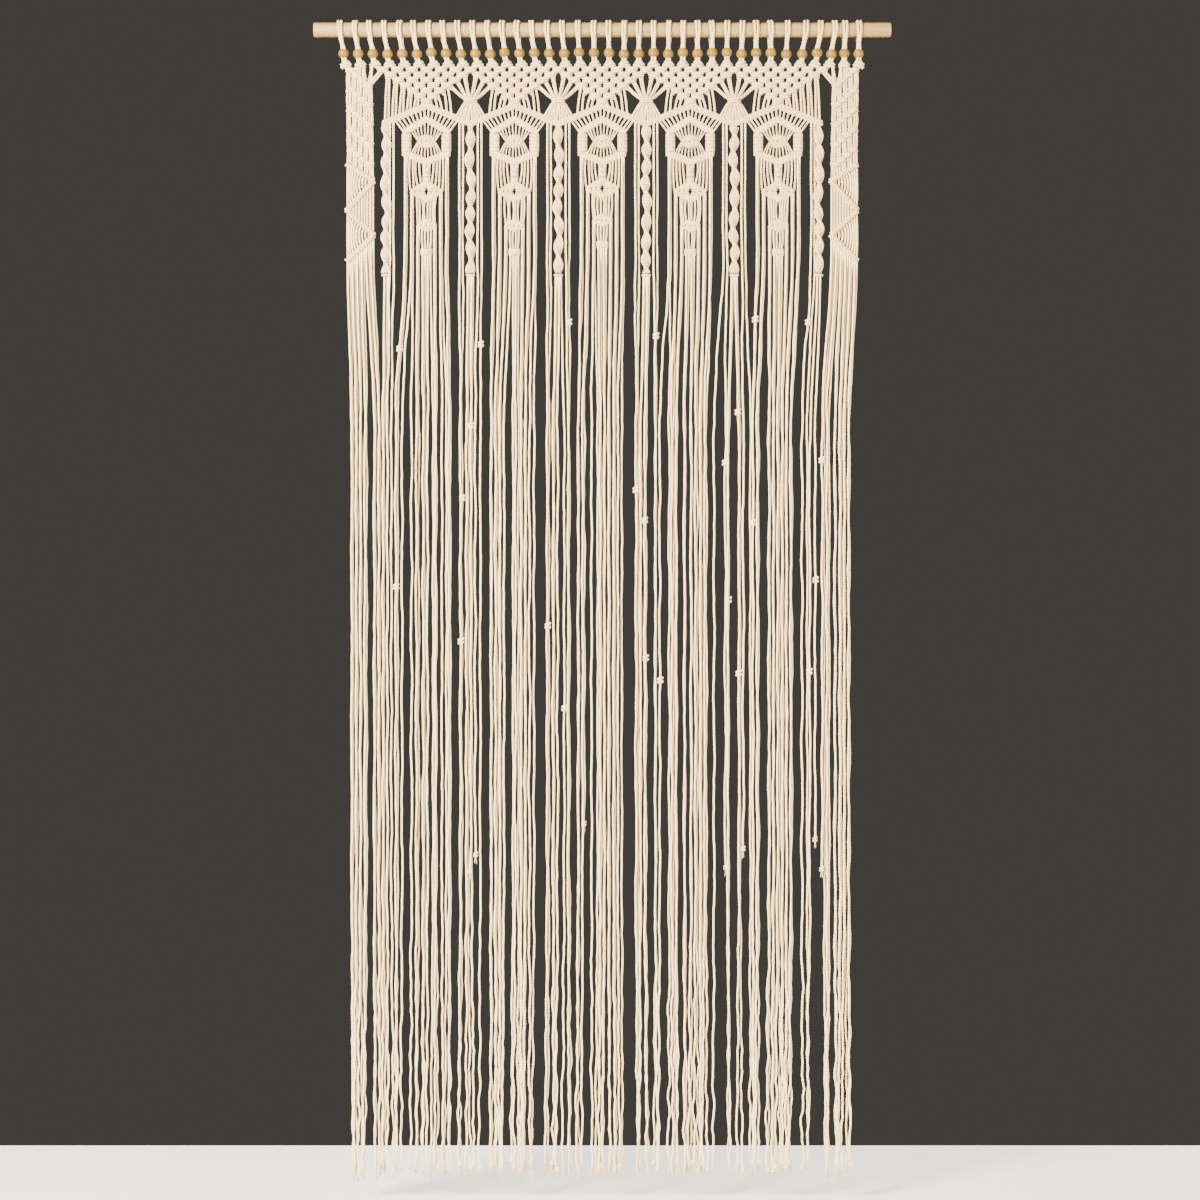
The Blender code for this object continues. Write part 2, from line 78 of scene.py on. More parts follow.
def scallopX(index):
    return (index - (layout["scallops"] - 1) / 2) * scallopWidth

centres = [scallopX(index) for index in range(layout["scallops"])]

def lean(index):
    # the loops over the rod stand to the left on the left side, and to the right near the right end
    share = index / (layout["beadCount"] - 1)
    left, *leftEnd = layout["leanLeft"]
    right, rise, risen, fall, fallen = layout["leanRight"]
    shift = left * (1 - ease(share, *leftEnd))
    return shift + right * ease(share, rise, risen) * (1 - ease(share, fall, fallen))

def netKnot(centre, col, row):
    narrow = 1 - layout["netNarrowing"] * max(0, row - 2)
    return centre + col * column * narrow, layout["netTop"] - layout["netRow"] * (row - 1)

def zigzagZ(offset):
    # height of the zigzag bar at a distance from a scallop's middle
    return mixed(layout["zigzagPeak"], layout["zigzagValley"], abs(offset) / halfScallop)

# cords are round tubes, gathered in a batch that becomes one mesh
def newBatch():
    return {"verts": [], "loops": [], "sizes": [], "uvs": [], "tones": [], "count": 0}

def smoothLine(points, step, closed):
    # a Catmull-Rom curve through the points
    places = np.array(points, dtype=float)
    if closed:
        padded = np.vstack([places[-1:], places, places[:2]])
    else:
        padded = np.vstack([2 * places[0] - places[1], places, 2 * places[-1] - places[-2]])
    pieces = []
    for span in range(len(padded) - 3):
        a, b, c, d = padded[span:span + 4]
        count = max(1, ceil(np.linalg.norm(c - b) / step))
        t = (np.arange(count) / count)[:, None]
        cubic = 2 * b + (c - a) * t + (2 * a - 5 * b + 4 * c - d) * t ** 2
        pieces.append(0.5 * (cubic + (3 * b - a - 3 * c + d) * t ** 3))
    if not closed:
        pieces.append(places[-1:])
    return np.vstack(pieces)

def layCord(
    batch, points, step, radius=cordLook["radius"], sides=cordLook["sides"], closed=False, widths=(1, 1)
):
    # one round cord through the points; widths are shares of its radius from start to end
    line = smoothLine(points, step, closed)
    count = len(line)
    if closed:
        ahead = np.roll(line, -1, axis=0) - np.roll(line, 1, axis=0)
    else:
        ahead = np.gradient(line, axis=0)
    ahead /= np.linalg.norm(ahead, axis=1)[:, None]
    across = np.empty_like(line)
    start = np.array((0.0, 1.0, 0.0) if abs(ahead[0][1]) < 0.8 else (1.0, 0.0, 0.0))
    for index in range(count):
        start = start - ahead[index] * np.dot(start, ahead[index])
        start = start / sqrt(np.dot(start, start))
        across[index] = start
    other = np.cross(ahead, across)
    turns = np.arange(sides)[None, :, None] * tau / sides
    size = radius * np.interp(np.linspace(0, 1, count), np.linspace(0, 1, len(widths)), widths)
    ring = across[:, None] * np.cos(turns) + other[:, None] * np.sin(turns)
    verts = line[:, None] + ring * size[:, None, None]

    stretches = count if closed else count - 1
    rows, places = np.arange(stretches)[:, None], np.arange(sides)[None, :]
    nextRows, nextPlaces = (rows + 1) % count, (places + 1) % sides
    corners = ((rows, places), (rows, nextPlaces), (nextRows, nextPlaces), (nextRows, places))
    quads = np.stack([row * sides + place for row, place in corners], axis=-1).reshape(-1, 4)

    along = np.concatenate([[0], np.cumsum(np.linalg.norm(np.diff(line, axis=0), axis=1))])
    along = along + len(batch["verts"]) * cordLook["mapShift"]
    gap = np.linalg.norm(line[0] - line[-1]) if closed else 0.0
    heights = np.append(along, along[-1] + gap)[:, None]
    low, high = heights[:stretches], heights[1:stretches + 1]
    left = places / sides
    right = left + 1 / sides
    corners = ((left, low), (right, low), (right, high), (left, high))
    uvs = np.stack([np.stack(np.broadcast_arrays(*corner), -1) for corner in corners], axis=2)

    base = batch["count"]
    batch["verts"].append(verts.reshape(-1, 3))
    batch["loops"].append((quads + base).reshape(-1))
    batch["sizes"].append(np.full(len(quads), 4))
    batch["uvs"].append(uvs.reshape(-1, 2))
    if not closed:
        ends = (np.arange(sides)[::-1], (count - 1) * sides + np.arange(sides))
        for corners, place in zip(ends, (along[0], along[-1])):
            batch["loops"].append(corners + base)
            batch["sizes"].append(np.array([sides]))
            batch["uvs"].append(np.tile((0.5, place), (sides, 1)))
    tone = (len(batch["verts"]) * cordLook["toneShift"]) % 1.0
    batch["tones"].append(np.full(count * sides, tone))
    batch["count"] += count * sides

def addObject(name, data, *materials):
    for material in materials:
        data.materials.append(material)
    piece = bpy.data.objects.new(name, data)
    bpy.context.scene.collection.objects.link(piece)
    return piece

def meshFrom(shell, name, sharpAngle=None):
    mesh = bpy.data.meshes.new(name)
    shell.to_mesh(mesh)
    shell.free()
    if sharpAngle:
        mesh.shade_smooth()
        mesh.set_sharp_from_angle(angle=radians(sharpAngle))
    return mesh

# shader nodes and groups
def setInputs(tree, node, inputs):
    # each input gets a value, or a link from another node's output
    for label, value in inputs.items():
        if isinstance(value, bpy.types.NodeSocket):
            tree.links.new(value, node.inputs[label])
        else:
            node.inputs[label].default_value = value

def addNode(tree, kind, inputs, **settings):
    node = tree.nodes.new("ShaderNode" + kind)
    for label, value in settings.items():
        setattr(node, label, value)
    setInputs(tree, node, inputs)
    return node

def mathNode(tree, operation, *values):
    return addNode(tree, "Math", dict(enumerate(values)), operation=operation).outputs[0]

def times(tree, first, second):
    return mathNode(tree, "MULTIPLY", first, second)

def mixColours(tree, share, first, second):
    return addNode(tree, "Mix", {0: share, 6: first, 7: second}, data_type="RGBA").outputs[2]

def stretchRange(tree, value, low, high):
    return addNode(tree, "MapRange", {"Value": value, "To Min": low, "To Max": high}).outputs[0]

def bumpNormal(tree, height, strength, distance):
    inputs = {"Height": height, "Strength": strength, "Distance": distance}
    return addNode(tree, "Bump", inputs).outputs[0]

def newGroup(name, inputs, outputs):
    # an input without a number is a vector
    group = bpy.data.node_groups.new(name, "ShaderNodeTree")
    for label, value in inputs.items():
        kind = "NodeSocketVector" if value is None else "NodeSocketFloat"
        socket = group.interface.new_socket(label, in_out="INPUT", socket_type=kind)
        if value is not None:
            socket.default_value = value
    for label in outputs:
        group.interface.new_socket(label, in_out="OUTPUT", socket_type="NodeSocketFloat")
    return group, group.nodes.new("NodeGroupInput"), group.nodes.new("NodeGroupOutput")

def makeTwistGroup():
    # the plies of a twisted cord: round backs with sharp grooves between them, a height for the bump and a
    # mask of painted shade in the grooves
    inputs = {"Map": None, "Plies": 3.0, "Lay": 0.015, "Fibre": 0.25}
    group, entry, out = newGroup("cordTwist", inputs, ("Height", "GrooveShade"))
    parts = addNode(group, "SeparateXYZ", {0: entry.outputs["Map"]})
    turn = mathNode(group, "DIVIDE", parts.outputs[1], entry.outputs["Lay"])
    phase = mathNode(group, "ADD", parts.outputs[0], turn)
    phase = times(group, phase, entry.outputs["Plies"])
    wave = mathNode(group, "SINE", times(group, phase, pi))
    ply = mathNode(group, "ABSOLUTE", wave)
    threads = mathNode(group, "SINE", times(group, phase, pi * 7))
    threads = times(group, threads, entry.outputs["Fibre"])
    threads = times(group, threads, 0.35)
    # painted shade: the mask is strongest in the grooves between the plies
    grooveShade = mathNode(group, "POWER", mathNode(group, "SUBTRACT", 1.0, ply), 2.2)
    setInputs(group, out, {"Height": mathNode(group, "ADD", ply, threads), "GrooveShade": grooveShade})
    return group

def makeGrainGroup():
    # wood grain that runs along the vector's first axis
    inputs = {"Vector": None, "Stretch": 12.0, "Scale": 160.0, "Seed": 0.0}
    group, entry, out = newGroup("woodGrain", inputs, ("Grain", "Pores"))
    parts = addNode(group, "SeparateXYZ", {0: entry.outputs["Vector"]})
    along = mathNode(group, "DIVIDE", parts.outputs[0], entry.outputs["Stretch"])
    joined = addNode(group, "CombineXYZ", {0: along, 1: parts.outputs[1], 2: parts.outputs[2]})
    shared = {"Vector": joined.outputs[0], "W": entry.outputs["Seed"]}
    broad = {**shared, "Scale": entry.outputs["Scale"], "Detail": 5.0, "Roughness": 0.55, "Distortion": 0.4}
    noise = addNode(group, "TexNoise", broad, noise_dimensions="4D")
    bands = mathNode(group, "SINE", times(group, noise.outputs[0], 22.0))
    bands = times(group, mathNode(group, "ADD", bands, 1.0), 0.5)
    fineScale = times(group, entry.outputs["Scale"], 9.0)
    fine = addNode(group, "TexNoise", {**shared, "Scale": fineScale, "Detail": 2.0}, noise_dimensions="4D")
    setInputs(group, out, {"Grain": bands, "Pores": fine.outputs[0]})
    return group

twistGroup = makeTwistGroup()
grainGroup = makeGrainGroup()

def newMaterial(name, inputs):
    made = bpy.data.materials.new(name)
    made.use_nodes = True
    tree = made.node_tree
    shader = tree.nodes["Principled BSDF"]
    setInputs(tree, shader, inputs)
    return made, tree, shader

# cotton colours; depth is how strongly the painted shade in the ply grooves darkens the colour
cottonLook = {
    "strings": {
        "lit": (0.97, 0.79, 0.45, 1.0), "warm": (0.93, 0.69, 0.34, 1.0), "depth": 0.7, "bump": 0.9,
    },
    "knots": {
        "lit": (0.85, 0.63, 0.32, 1.0), "warm": (0.79, 0.535, 0.23, 1.0), "depth": 0.75, "bump": 1.0,
    },
    # colour of the painted shade in the grooves between plies
    "grooveShade": (0.3, 0.17, 0.06, 1.0),
    "shader": {"Roughness": 0.85, "Sheen Weight": 0.1, "Sheen Roughness": 0.6, "Specular IOR Level": 0.2},
}

def makeCotton(name, look):
    made, tree, shader = newMaterial(name, cottonLook["shader"])
    cordMap = addNode(tree, "UVMap", {}, uv_map="cordMap")
    inputs = {"Map": cordMap.outputs[0], "Plies": cordLook["plies"], "Lay": cordLook["lay"]}
    twist = addNode(tree, "Group", inputs, node_tree=twistGroup)
    tone = addNode(tree, "Attribute", {}, attribute_name="tone")
    places = addNode(tree, "TexCoord", {}).outputs["Object"]
    patches = addNode(tree, "TexNoise", {"Vector": places, "Scale": 14.0, "Detail": 3.0})
    both = mathNode(tree, "ADD", tone.outputs["Fac"], patches.outputs[0])
    share = stretchRange(tree, times(tree, both, 0.5), 0.0, 1.0)
    body = mixColours(tree, share, look["lit"], look["warm"])
    # painted shade in the grooves between plies, mixed into the colour by the groove mask
    depth = times(tree, twist.outputs["GrooveShade"], look["depth"])
    fuzz = addNode(tree, "TexNoise", {"Vector": places, "Scale": 2600.0, "Detail": 1.0})
    height = times(tree, fuzz.outputs[0], 0.25)
    height = mathNode(tree, "ADD", twist.outputs["Height"], height)
    setInputs(tree, shader, {
        "Base Color": mixColours(tree, depth, body, cottonLook["grooveShade"]),
        "Normal": bumpNormal(tree, height, look["bump"], 0.0007),
    })
    return made

woodLook = {
    "rod": {
        "pale": (0.36, 0.225, 0.07, 1.0), "dark": (0.2, 0.105, 0.024, 1.0),
        "roughness": 0.55, "coat": 0.0, "scale": 70.0, "stretch": 14.0,
    },
    "bead": {
        "pale": (0.23, 0.126, 0.008, 1.0), "dark": (0.1, 0.046, 0.002, 1.0),
        "roughness": 0.48, "coat": 0.06, "scale": 210.0, "stretch": 4.0,
    },
}

def makeWood(name, look):
    inputs = {"Specular IOR Level": 0.3, "Coat Weight": look["coat"], "Coat Roughness": 0.25}
    made, tree, shader = newMaterial(name, {**inputs, "Roughness": look["roughness"]})
    places = addNode(tree, "TexCoord", {}).outputs["Object"]
    tone = addNode(tree, "Attribute", {}, attribute_name="tone").outputs["Fac"]
    seed = times(tree, tone, 7.0)
    inputs = {"Vector": places, "Stretch": look["stretch"], "Scale": look["scale"], "Seed": seed}
    grain = addNode(tree, "Group", inputs, node_tree=grainGroup)
    bands = stretchRange(tree, grain.outputs["Grain"], 0.0, 0.55)
    colour = mixColours(tree, bands, look["pale"], look["dark"])
    pores = stretchRange(tree, grain.outputs["Pores"], 0.0, 0.35)
    colour = mixColours(tree, pores, colour, look["dark"])
    shade = {"Value": stretchRange(tree, tone, 0.9, 1.06), "Color": colour}
    dull, shiny = look["roughness"] + 0.12, look["roughness"] - 0.08
    setInputs(tree, shader, {
        "Base Color": addNode(tree, "HueSaturation", shade).outputs[0],
        "Roughness": stretchRange(tree, grain.outputs["Pores"], shiny, dull),
        "Normal": bumpNormal(tree, grain.outputs["Pores"], 0.25, 0.0003),
    })
    return made

stringCotton = makeCotton("stringCotton", cottonLook["strings"])
knotCotton = makeCotton("knotCotton", cottonLook["knots"])
rodWood = makeWood("rodWood", woodLook["rod"])
beadWood = makeWood("beadWood", woodLook["bead"])
print("materials ready")

def makePiece(name, batch, material=knotCotton, nodes=("macrame",)):
    mesh = bpy.data.meshes.new(name)
    verts = np.vstack(batch["verts"])
    loops = np.concatenate(batch["loops"])
    sizes = np.concatenate(batch["sizes"])
    mesh.vertices.add(len(verts))
    mesh.vertices.foreach_set("co", verts.reshape(-1))
    mesh.loops.add(len(loops))
    mesh.loops.foreach_set("vertex_index", loops.astype(np.int32))
    mesh.polygons.add(len(sizes))
    starts = np.concatenate([[0], np.cumsum(sizes)[:-1]]).astype(np.int32)
    mesh.polygons.foreach_set("loop_start", starts)
    mesh.update(calc_edges=True)
    layer = mesh.uv_layers.new(name="cordMap")
    layer.data.foreach_set("uv", np.vstack(batch["uvs"]).reshape(-1))
    tone = mesh.attributes.new("tone", "FLOAT", "POINT")
    tone.data.foreach_set("value", np.concatenate(batch["tones"]))
    mesh.validate()
    mesh.shade_smooth()
    piece = addObject(name, mesh, material)
    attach(piece, "root")
    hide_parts(*nodes)
    print(name, (sizes - 2).sum(), "triangles")

rod = {"length": 1.0, "sides": 48, "chamfer": 0.0012, "sharpAngle": 40}

def makeRod():
    shell = bmesh.new()
    radius = layout["rodRadius"]
    bmesh.ops.create_cone(
        shell, cap_ends=True, segments=rod["sides"], radius1=radius, radius2=radius,
        depth=rod["length"], matrix=Matrix.Rotation(pi / 2, 4, "Y"),
    )
    end = rod["length"] / 2 - 1e-5
    rims = [edge for edge in shell.edges if all(abs(vert.co.x) > end for vert in edge.verts)]
    bmesh.ops.bevel(
        shell, geom=rims, offset=rod["chamfer"], segments=3, profile=0.5, affect="EDGES", material=-1
    )
    mesh = meshFrom(shell, "dowel", rod["sharpAngle"])
    tone = mesh.attributes.new("tone", "FLOAT", "POINT")
    tone.data.foreach_set("value", [0.5] * len(mesh.vertices))
    piece = addObject("dowel", mesh, rodWood)
    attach(piece, "root")
    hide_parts("rod")

makeRod()
print("rod made")

bead = {"radius": 0.009, "bore": 0.0046, "sides": 24, "bands": 14, "turn": 1.7, "sharpAngle": 50}

def neckEnds(index):
    foot = Vector((beadX(index), 0, layout["netTop"]))
    head = Vector((beadX(index) + lean(index), 0, layout["loopHead"]))
    return foot, head

def beadPlaces():
    # each bead sits where its solid is, tilted along its cords
    places = []
    for index in range(layout["beadCount"]):
        low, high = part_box(f"bead_{index + 1:02d}")
        middle = (Vector(low) + Vector(high)) / 2
        foot, head = neckEnds(index)
        places.append((middle, atan2(head.x - foot.x, head.z - foot.z)))
    return places

def makeBeads():
    shell = bmesh.new()
    toneLayer = shell.verts.layers.float.new("tone")
    radius = bead["radius"]
    boreAngle = acos(bead["bore"] / radius)
    for index, (middle, tilt) in enumerate(beadPlaces()):
        section = []
        for band in range(bead["bands"] + 1):
            angle = boreAngle * (1 - 2 * band / bead["bands"])
            section.append(shell.verts.new((radius * cos(angle), 0, radius * sin(angle))))
        edges = [shell.edges.new(pair) for pair in zip(section, section[1:] + section[:1])]
        bmesh.ops.spin(
            shell, geom=section + edges, cent=(0, 0, 0), axis=(0, 0, 1),
            angle=tau, steps=bead["sides"], use_merge=True,
        )
        own = [vert for vert in shell.verts if vert[toneLayer] == 0.0]
        turn = Matrix.Rotation(tilt, 4, "Y") @ Matrix.Rotation(index * bead["turn"], 4, "Z")
        bmesh.ops.transform(shell, matrix=Matrix.Translation(middle) @ turn, verts=own)
        for vert in own:
            vert[toneLayer] = 0.05 + (index * cordLook["toneShift"]) % 0.95
    bmesh.ops.remove_doubles(shell, verts=shell.verts, dist=0.00001)
    bmesh.ops.recalc_face_normals(shell, faces=shell.faces)
    piece = addObject("woodBeads", meshFrom(shell, "woodBeads", bead["sharpAngle"]), beadWood)
    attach(piece, "root")
    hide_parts(*[f"bead_{index + 1:02d}" for index in range(layout["beadCount"])])

makeBeads()
print("beads made")

# loops over the rod, and the cords through the beads
loop = {
    "radius": 0.0023, "step": 0.0045, "gap": 0.0002,
    "spread": 0.0024, "inBead": 0.95, "onRod": 1.06,  # half the distance of two cords, and shares of it
    "boreDepth": 0.0021, "boreReach": 0.006,
    "belly": 0.0078,  # depth half way up to the rod
    "fan": 0.0034, "wobble": 0.0006,
    "turns": (25, 60, 95, 130, 165),  # degrees round the rod
}

def makeLoops():
    batch = newBatch()
    draw = random.Random(3).uniform
    reach = layout["rodRadius"] + loop["radius"] + loop["gap"]
    deep, high = loop["boreDepth"], loop["boreReach"]
    for index, (middle, _) in enumerate(beadPlaces()):
        foot, head = neckEnds(index)
        splay = draw(-loop["fan"], loop["fan"])
        for side in (-1, 1):
            shift = side * loop["spread"]
            wobble = draw(-loop["wobble"], loop["wobble"])
            inBead = middle.x + shift * loop["inBead"]
            onRod = head.x + shift * loop["onRod"]
            legs = []
            for hand, x in ((-1, onRod + wobble), (1, onRod + splay)):
                legs.append([
                    (foot.x + shift, hand * (deep + 0.0001), foot.z + 0.002),
                    (inBead, hand * deep, middle.z - high),
                    (inBead, hand * deep, middle.z + high),
                    (mixed(middle.x, x, 0.45), hand * loop["belly"], middle.z * 0.55),
                    (x, hand * reach * 0.97, -reach * 0.22),
                ])
            over = []
            for turn in loop["turns"]:
                angle = radians(turn)
                x = onRod + mixed(wobble, splay, turn / 180)
                over.append((x, -reach * cos(angle), reach * sin(angle)))
            layCord(batch, legs[0] + over + legs[1][::-1], loop["step"], loop["radius"])
    makePiece("rodLoops", batch)

makeLoops()

# half width, half height, cord radius and drawing-in at the top of each kind of square knot
knotSizes = {
    "net": (0.0076, 0.0062, 0.0025, 0.0),
    "top": (0.008, 0.0064, 0.0024, 0.55),
    "wall": (0.0068, 0.0034, 0.0018, 0.0),
    "middle": (0.0052, 0.004, 0.0019, 0.0),
    "side": (0.0072, 0.0055, 0.0022, 0.0),
    "end": (0.0084, 0.006, 0.0024, 0.0),
}
knotDepth = {"front": 0.0044, "back": 0.0036}

# the two cords of a square knot: shares of half width, of front or back depth, and of half height
workingCord = (
    (-0.55, 0.25, 0.98), (-0.98, -0.1, 0.62), (-0.66, -0.78, 0.42), (0.0, -1.0, 0.36),
    (0.66, -0.78, 0.28), (1.0, -0.05, 0.04), (0.64, 0.78, -0.24), (0.0, 1.0, -0.38),
    (-0.64, 0.78, -0.48), (-0.94, 0.1, -0.68), (-0.55, 0.2, -1.0),
)
answeringCord = (
    (0.55, 0.25, 0.98), (0.98, 0.2, 0.76), (0.64, 0.78, 0.48), (0.0, 1.0, 0.34),
    (-0.64, 0.78, 0.2), (-1.0, 0.05, -0.06), (-0.66, -0.78, -0.28), (0.0, -1.0, -0.4),
    (0.66, -0.78, -0.48), (0.94, -0.1, -0.7), (0.55, 0.2, -1.0),
)

def squareKnot(batch, kind, x, z, tilt=0.0, flip=False):
    halfWidth, halfHeight, radius, taper = knotSizes[kind]
    cosine, sine = cos(tilt), sin(tilt)
    mirror = -1 if flip else 1
    for table in (workingCord, answeringCord):
        points = []
        for across, depth, up in table:
            a = across * halfWidth * mirror * (1 - taper * max(0.0, up))
            b = depth * knotDepth["front" if depth < 0 else "back"]
            c = up * halfHeight
            points.append((x + a * cosine - c * sine, b, z + a * sine + c * cosine))
        layCord(batch, points, 0.004, radius)

def pairOfCords(batch, start, end, gap):
    # two cords side by side
    run = Vector((end[0] - start[0], end[1] - start[1]))
    across = Vector((run.y, -run.x)).normalized() * gap / 2
    for side in (-1, 1):
        points = [(place[0] + across.x * side, 0.0, place[1] + across.y * side) for place in (start, end)]
        layCord(batch, points, 0.01)

bar = {
    "radius": 0.0019, "cord": 0.0022, "cordSides": 5, "pitch": 0.0046, "steps": 9, "flatness": 0.92,
    "double": ((-0.0024, 0.0024), 0.00152),  # rows of hitches, and the radius they wind round
    "triple": ((-0.00312, 0.0, 0.00312), 0.00133),
}

def flatLine(*places):
    return [(place[0], 0.0, place[1]) for place in places]

def wrappedBar(batch, line, radius=bar["radius"], hand=1):
    # cords hitched round a holding cord, drawn as one close winding
    places = [Vector(place) for place in line]
    lengths = [(b - a).length for a, b in zip(places, places[1:])]
    total, steps = sum(lengths), bar["steps"]
    count = max(steps, int(total / bar["pitch"] * steps))
    points = []
    for index in range(count + 1):
        walked = total * index / count
        span = 0
        while span < len(lengths) - 1 and walked > lengths[span]:
            walked -= lengths[span]
            span += 1
        ahead = (places[span + 1] - places[span]).normalized()
        across = Vector((0, 1, 0)).cross(ahead).normalized() * radius
        turn = hand * tau * index / steps
        deep = Vector((0, radius * bar["flatness"] * sin(turn), 0))
        points.append(places[span] + ahead * walked + across * cos(turn) + deep)
    layCord(batch, points, 0.05, bar["cord"], bar["cordSides"])

def hitchedLegs(batch, line, radius=bar["radius"]):
    # the hitches of a bar that falls to the right lean the other way
    for start, end in zip(line, line[1:]):
        rising = (end[0] - start[0]) * (end[2] - start[2]) > 0
        wrappedBar(batch, [start, end], radius, 1 if rising else -1)

def stackedBar(batch, kind, *places):
    # rows of hitches, one above the other
    rises, radius = bar[kind]
    for rise in rises:
        hitchedLegs(batch, flatLine(*[(x, z + rise) for x, z in places]), radius)

def ovalMass(batch, x, z, rows):
    # rows of hitches that run round a middle, each row given by its half width and half height
    for wide, tall in rows:
        angles = [tau * turn / 24 for turn in range(25)]
        wrappedBar(batch, flatLine(*[(x + wide * cos(a), z + tall * sin(a)) for a in angles]))

def lozengeMass(batch, x, z, rows):
    # nested rows of hitches, each given by its half width and half height
    for wide, tall in rows:
        left, right = (x - wide, z), (x + wide, z)
        hitchedLegs(batch, flatLine(left, (x, z + tall), right, (x, z - tall), left))

# the net of alternating square knots
net = {"gap": 0.005, "inKnotX": 0.003, "inKnotZ": 0.001}

def makeNet():
    batch = newBatch()
    seen = set()
    inX, inZ = net["inKnotX"], net["inKnotZ"]
    for centre in centres:
        for row in range(1, layout["netRows"] + 1):
            reach = 5 if row == 1 else layout["netRows"] - row
            for col in range(-reach, reach + 1, 2):
                x, z = netKnot(centre, col, row)
                key = (round(x * 1e4), row)
                if key not in seen:
                    seen.add(key)
                    squareKnot(batch, "top" if row == 1 else "net", x, z, flip=(col + row) % 4 < 2)
                for side in (-1, 1):
                    if row == layout["netRows"] or row > 1 and abs(col + side) > reach - 1:
                        continue
                    nextX, nextZ = netKnot(centre, col + side, row + 1)
                    start, end = (x + side * inX, z - inZ), (nextX - side * inX, nextZ + inZ)
                    pairOfCords(batch, start, end, net["gap"])
    makePiece("knottedNet", batch)

makeNet()

# cords from the net to the zigzag bar, with a tied sheaf at each inner valley
sheaf = {
    "tie": -0.1225, "halfWidth": 0.0098, "halfDepth": 0.0062, "wraps": 2, "pitch": 0.004, "slope": 0.0006,
    "strands": 12, "packed": 0.0015, "strandDepth": 0.0016, "cord": 0.0018,
    "feet": (0.003, 0.007, 0.0114, 0.0156, 0.0204, 0.0258),  # from the valley's middle
    "besideShift": 0.0075, "besideRise": 0.0062, "besidePitch": 0.0079,
}

def strandTop(centre, side, strand, edge):
    # where one of the strands of a half scallop leaves the net's edge
    col, odd = strand // 2, strand % 2
    x, z = netKnot(centre, side * col, layout["netRows"] - col)
    if not edge and strand in (3, 4, 5):  # beside a sheaf they leave the next knot up
        share = (strand - 2) / 3
        x += side * sheaf["besideShift"] * share
        z += sheaf["besideRise"] * share
    return x + side * (0.0018 + 0.0036 * odd), z - 0.003 + 0.0012 * odd

def strandFoot(centre, side, strand, edge):
    # where it meets the zigzag bar
    if edge:
        offset = (strand + 0.5) * halfScallop / 12.2
    elif strand < 6:
        offset = (strand + 0.5) * sheaf["besidePitch"]
    else:
        offset = halfScallop - sheaf["feet"][11 - strand]
    return centre + side * offset, zigzagZ(offset)

def makeDrops():
    batch = newBatch()
    tie = sheaf["tie"]
    for scallop, centre in enumerate(centres):
        for side in (-1, 1):
            edge = scallop == (0 if side < 0 else layout["scallops"] - 1)
            for strand in range(sheaf["strands"]):
                topX, topZ = strandTop(centre, side, strand, edge)
                lowX, lowZ = strandFoot(centre, side, strand, edge)
                if edge or strand < 6:
                    middle = (mixed(topX, lowX, 0.6), -0.0004, mixed(topZ, lowZ, 0.4))
                    layCord(batch, [(topX, 0.0, topZ + 0.004), middle, (lowX, 0.0, lowZ)], 0.008)
                    continue
                x = centre + side * (halfScallop - (11.5 - strand) * sheaf["packed"])
                depth = sheaf["strandDepth"] * (-1 if strand % 2 else 1)
                points = [
                    (topX, 0.0, topZ + 0.003),
                    (mixed(topX, x, 0.75), depth * 0.8, mixed(topZ, tie, 0.72)),
                    (x, depth, tie + 0.002),
                    (x, depth, tie - 0.002),
                    (mixed(x, lowX, 0.28), depth * 0.8, mixed(tie, lowZ, 0.25)),
                    (lowX, 0.0, lowZ),
                ]
                layCord(batch, points, 0.005, sheaf["cord"])
    for valley in range(1, layout["scallops"]):
        middle = scallopX(valley) - halfScallop
        for wrap in range(sheaf["wraps"]):
            z = tie + (wrap - 0.5) * sheaf["pitch"]
            ring = []
            for turn in range(12):
                angle = tau * turn / 12
                wide = copysign(abs(cos(angle)) ** 0.7, cos(angle))
                deep = sin(angle) * sheaf["halfDepth"]
                ring.append((middle + wide * sheaf["halfWidth"], deep, z + sheaf["slope"] * wide))
            layCord(batch, ring, 0.004, closed=True)
    makePiece("dropCords", batch)

makeDrops()

# bars of hitches, hexagons, rings, lozenges and end knots
motif = {
    "roofPeak": -0.1545, "roofEaves": -0.1785, "sill": -0.2125, "foot": -0.2285, "halfWidth": 0.0405,
    "wallX": 0.0345, "wallKnots": 5, "wallGap": 0.002,
    "ringZ": -0.193, "ringReach": (0.0152, 0.0118),
    "ringRows": ((0.012, 0.0086), (0.0058, 0.0044)),
    "spokesIn": (0.0022, 0.0074, 0.0118, 0.0144, 0.0151),  # distance from the middle at the ring
    "spokesOut": (0.0028, 0.0098, 0.0168, 0.0228, 0.0282),  # and at the hexagon
    "upper": (-0.28, 0.031, 0.019),  # height, half width and half height
    "upperRows": ((0.0265, 0.016), (0.0165, 0.0156), (0.0072, 0.0153)),
    "lower": (-0.339, 0.019, 0.0105),
    "lowerRows": ((0.0152, 0.0082), (0.0068, 0.0056)),
    "endKnot": -0.385,
    "middleLifts": (0.0055, 0.0095, 0.013),  # of both lozenges and the end knot
    "strandGap": 0.0052, "cord": 0.0017, "spoke": 0.0013, "bow": 0.0005,
    "betweenLozenges": (0.0026, 0.0078, 0.0128, 0.0168),
    "toEndKnot": ((0.0024, 0.0018), (0.0076, 0.0058)),
    "middleKnots": 3, "middleDrop": 0.014, "middlePitch": 0.0085, "middleCords": (0.0021, 0.0064),
}

def roofZ(offset):
    return mixed(motif["roofPeak"], motif["roofEaves"], abs(offset) / motif["halfWidth"])

def sillZ(offset):
    return mixed(motif["foot"], motif["sill"], abs(offset) / motif["halfWidth"])

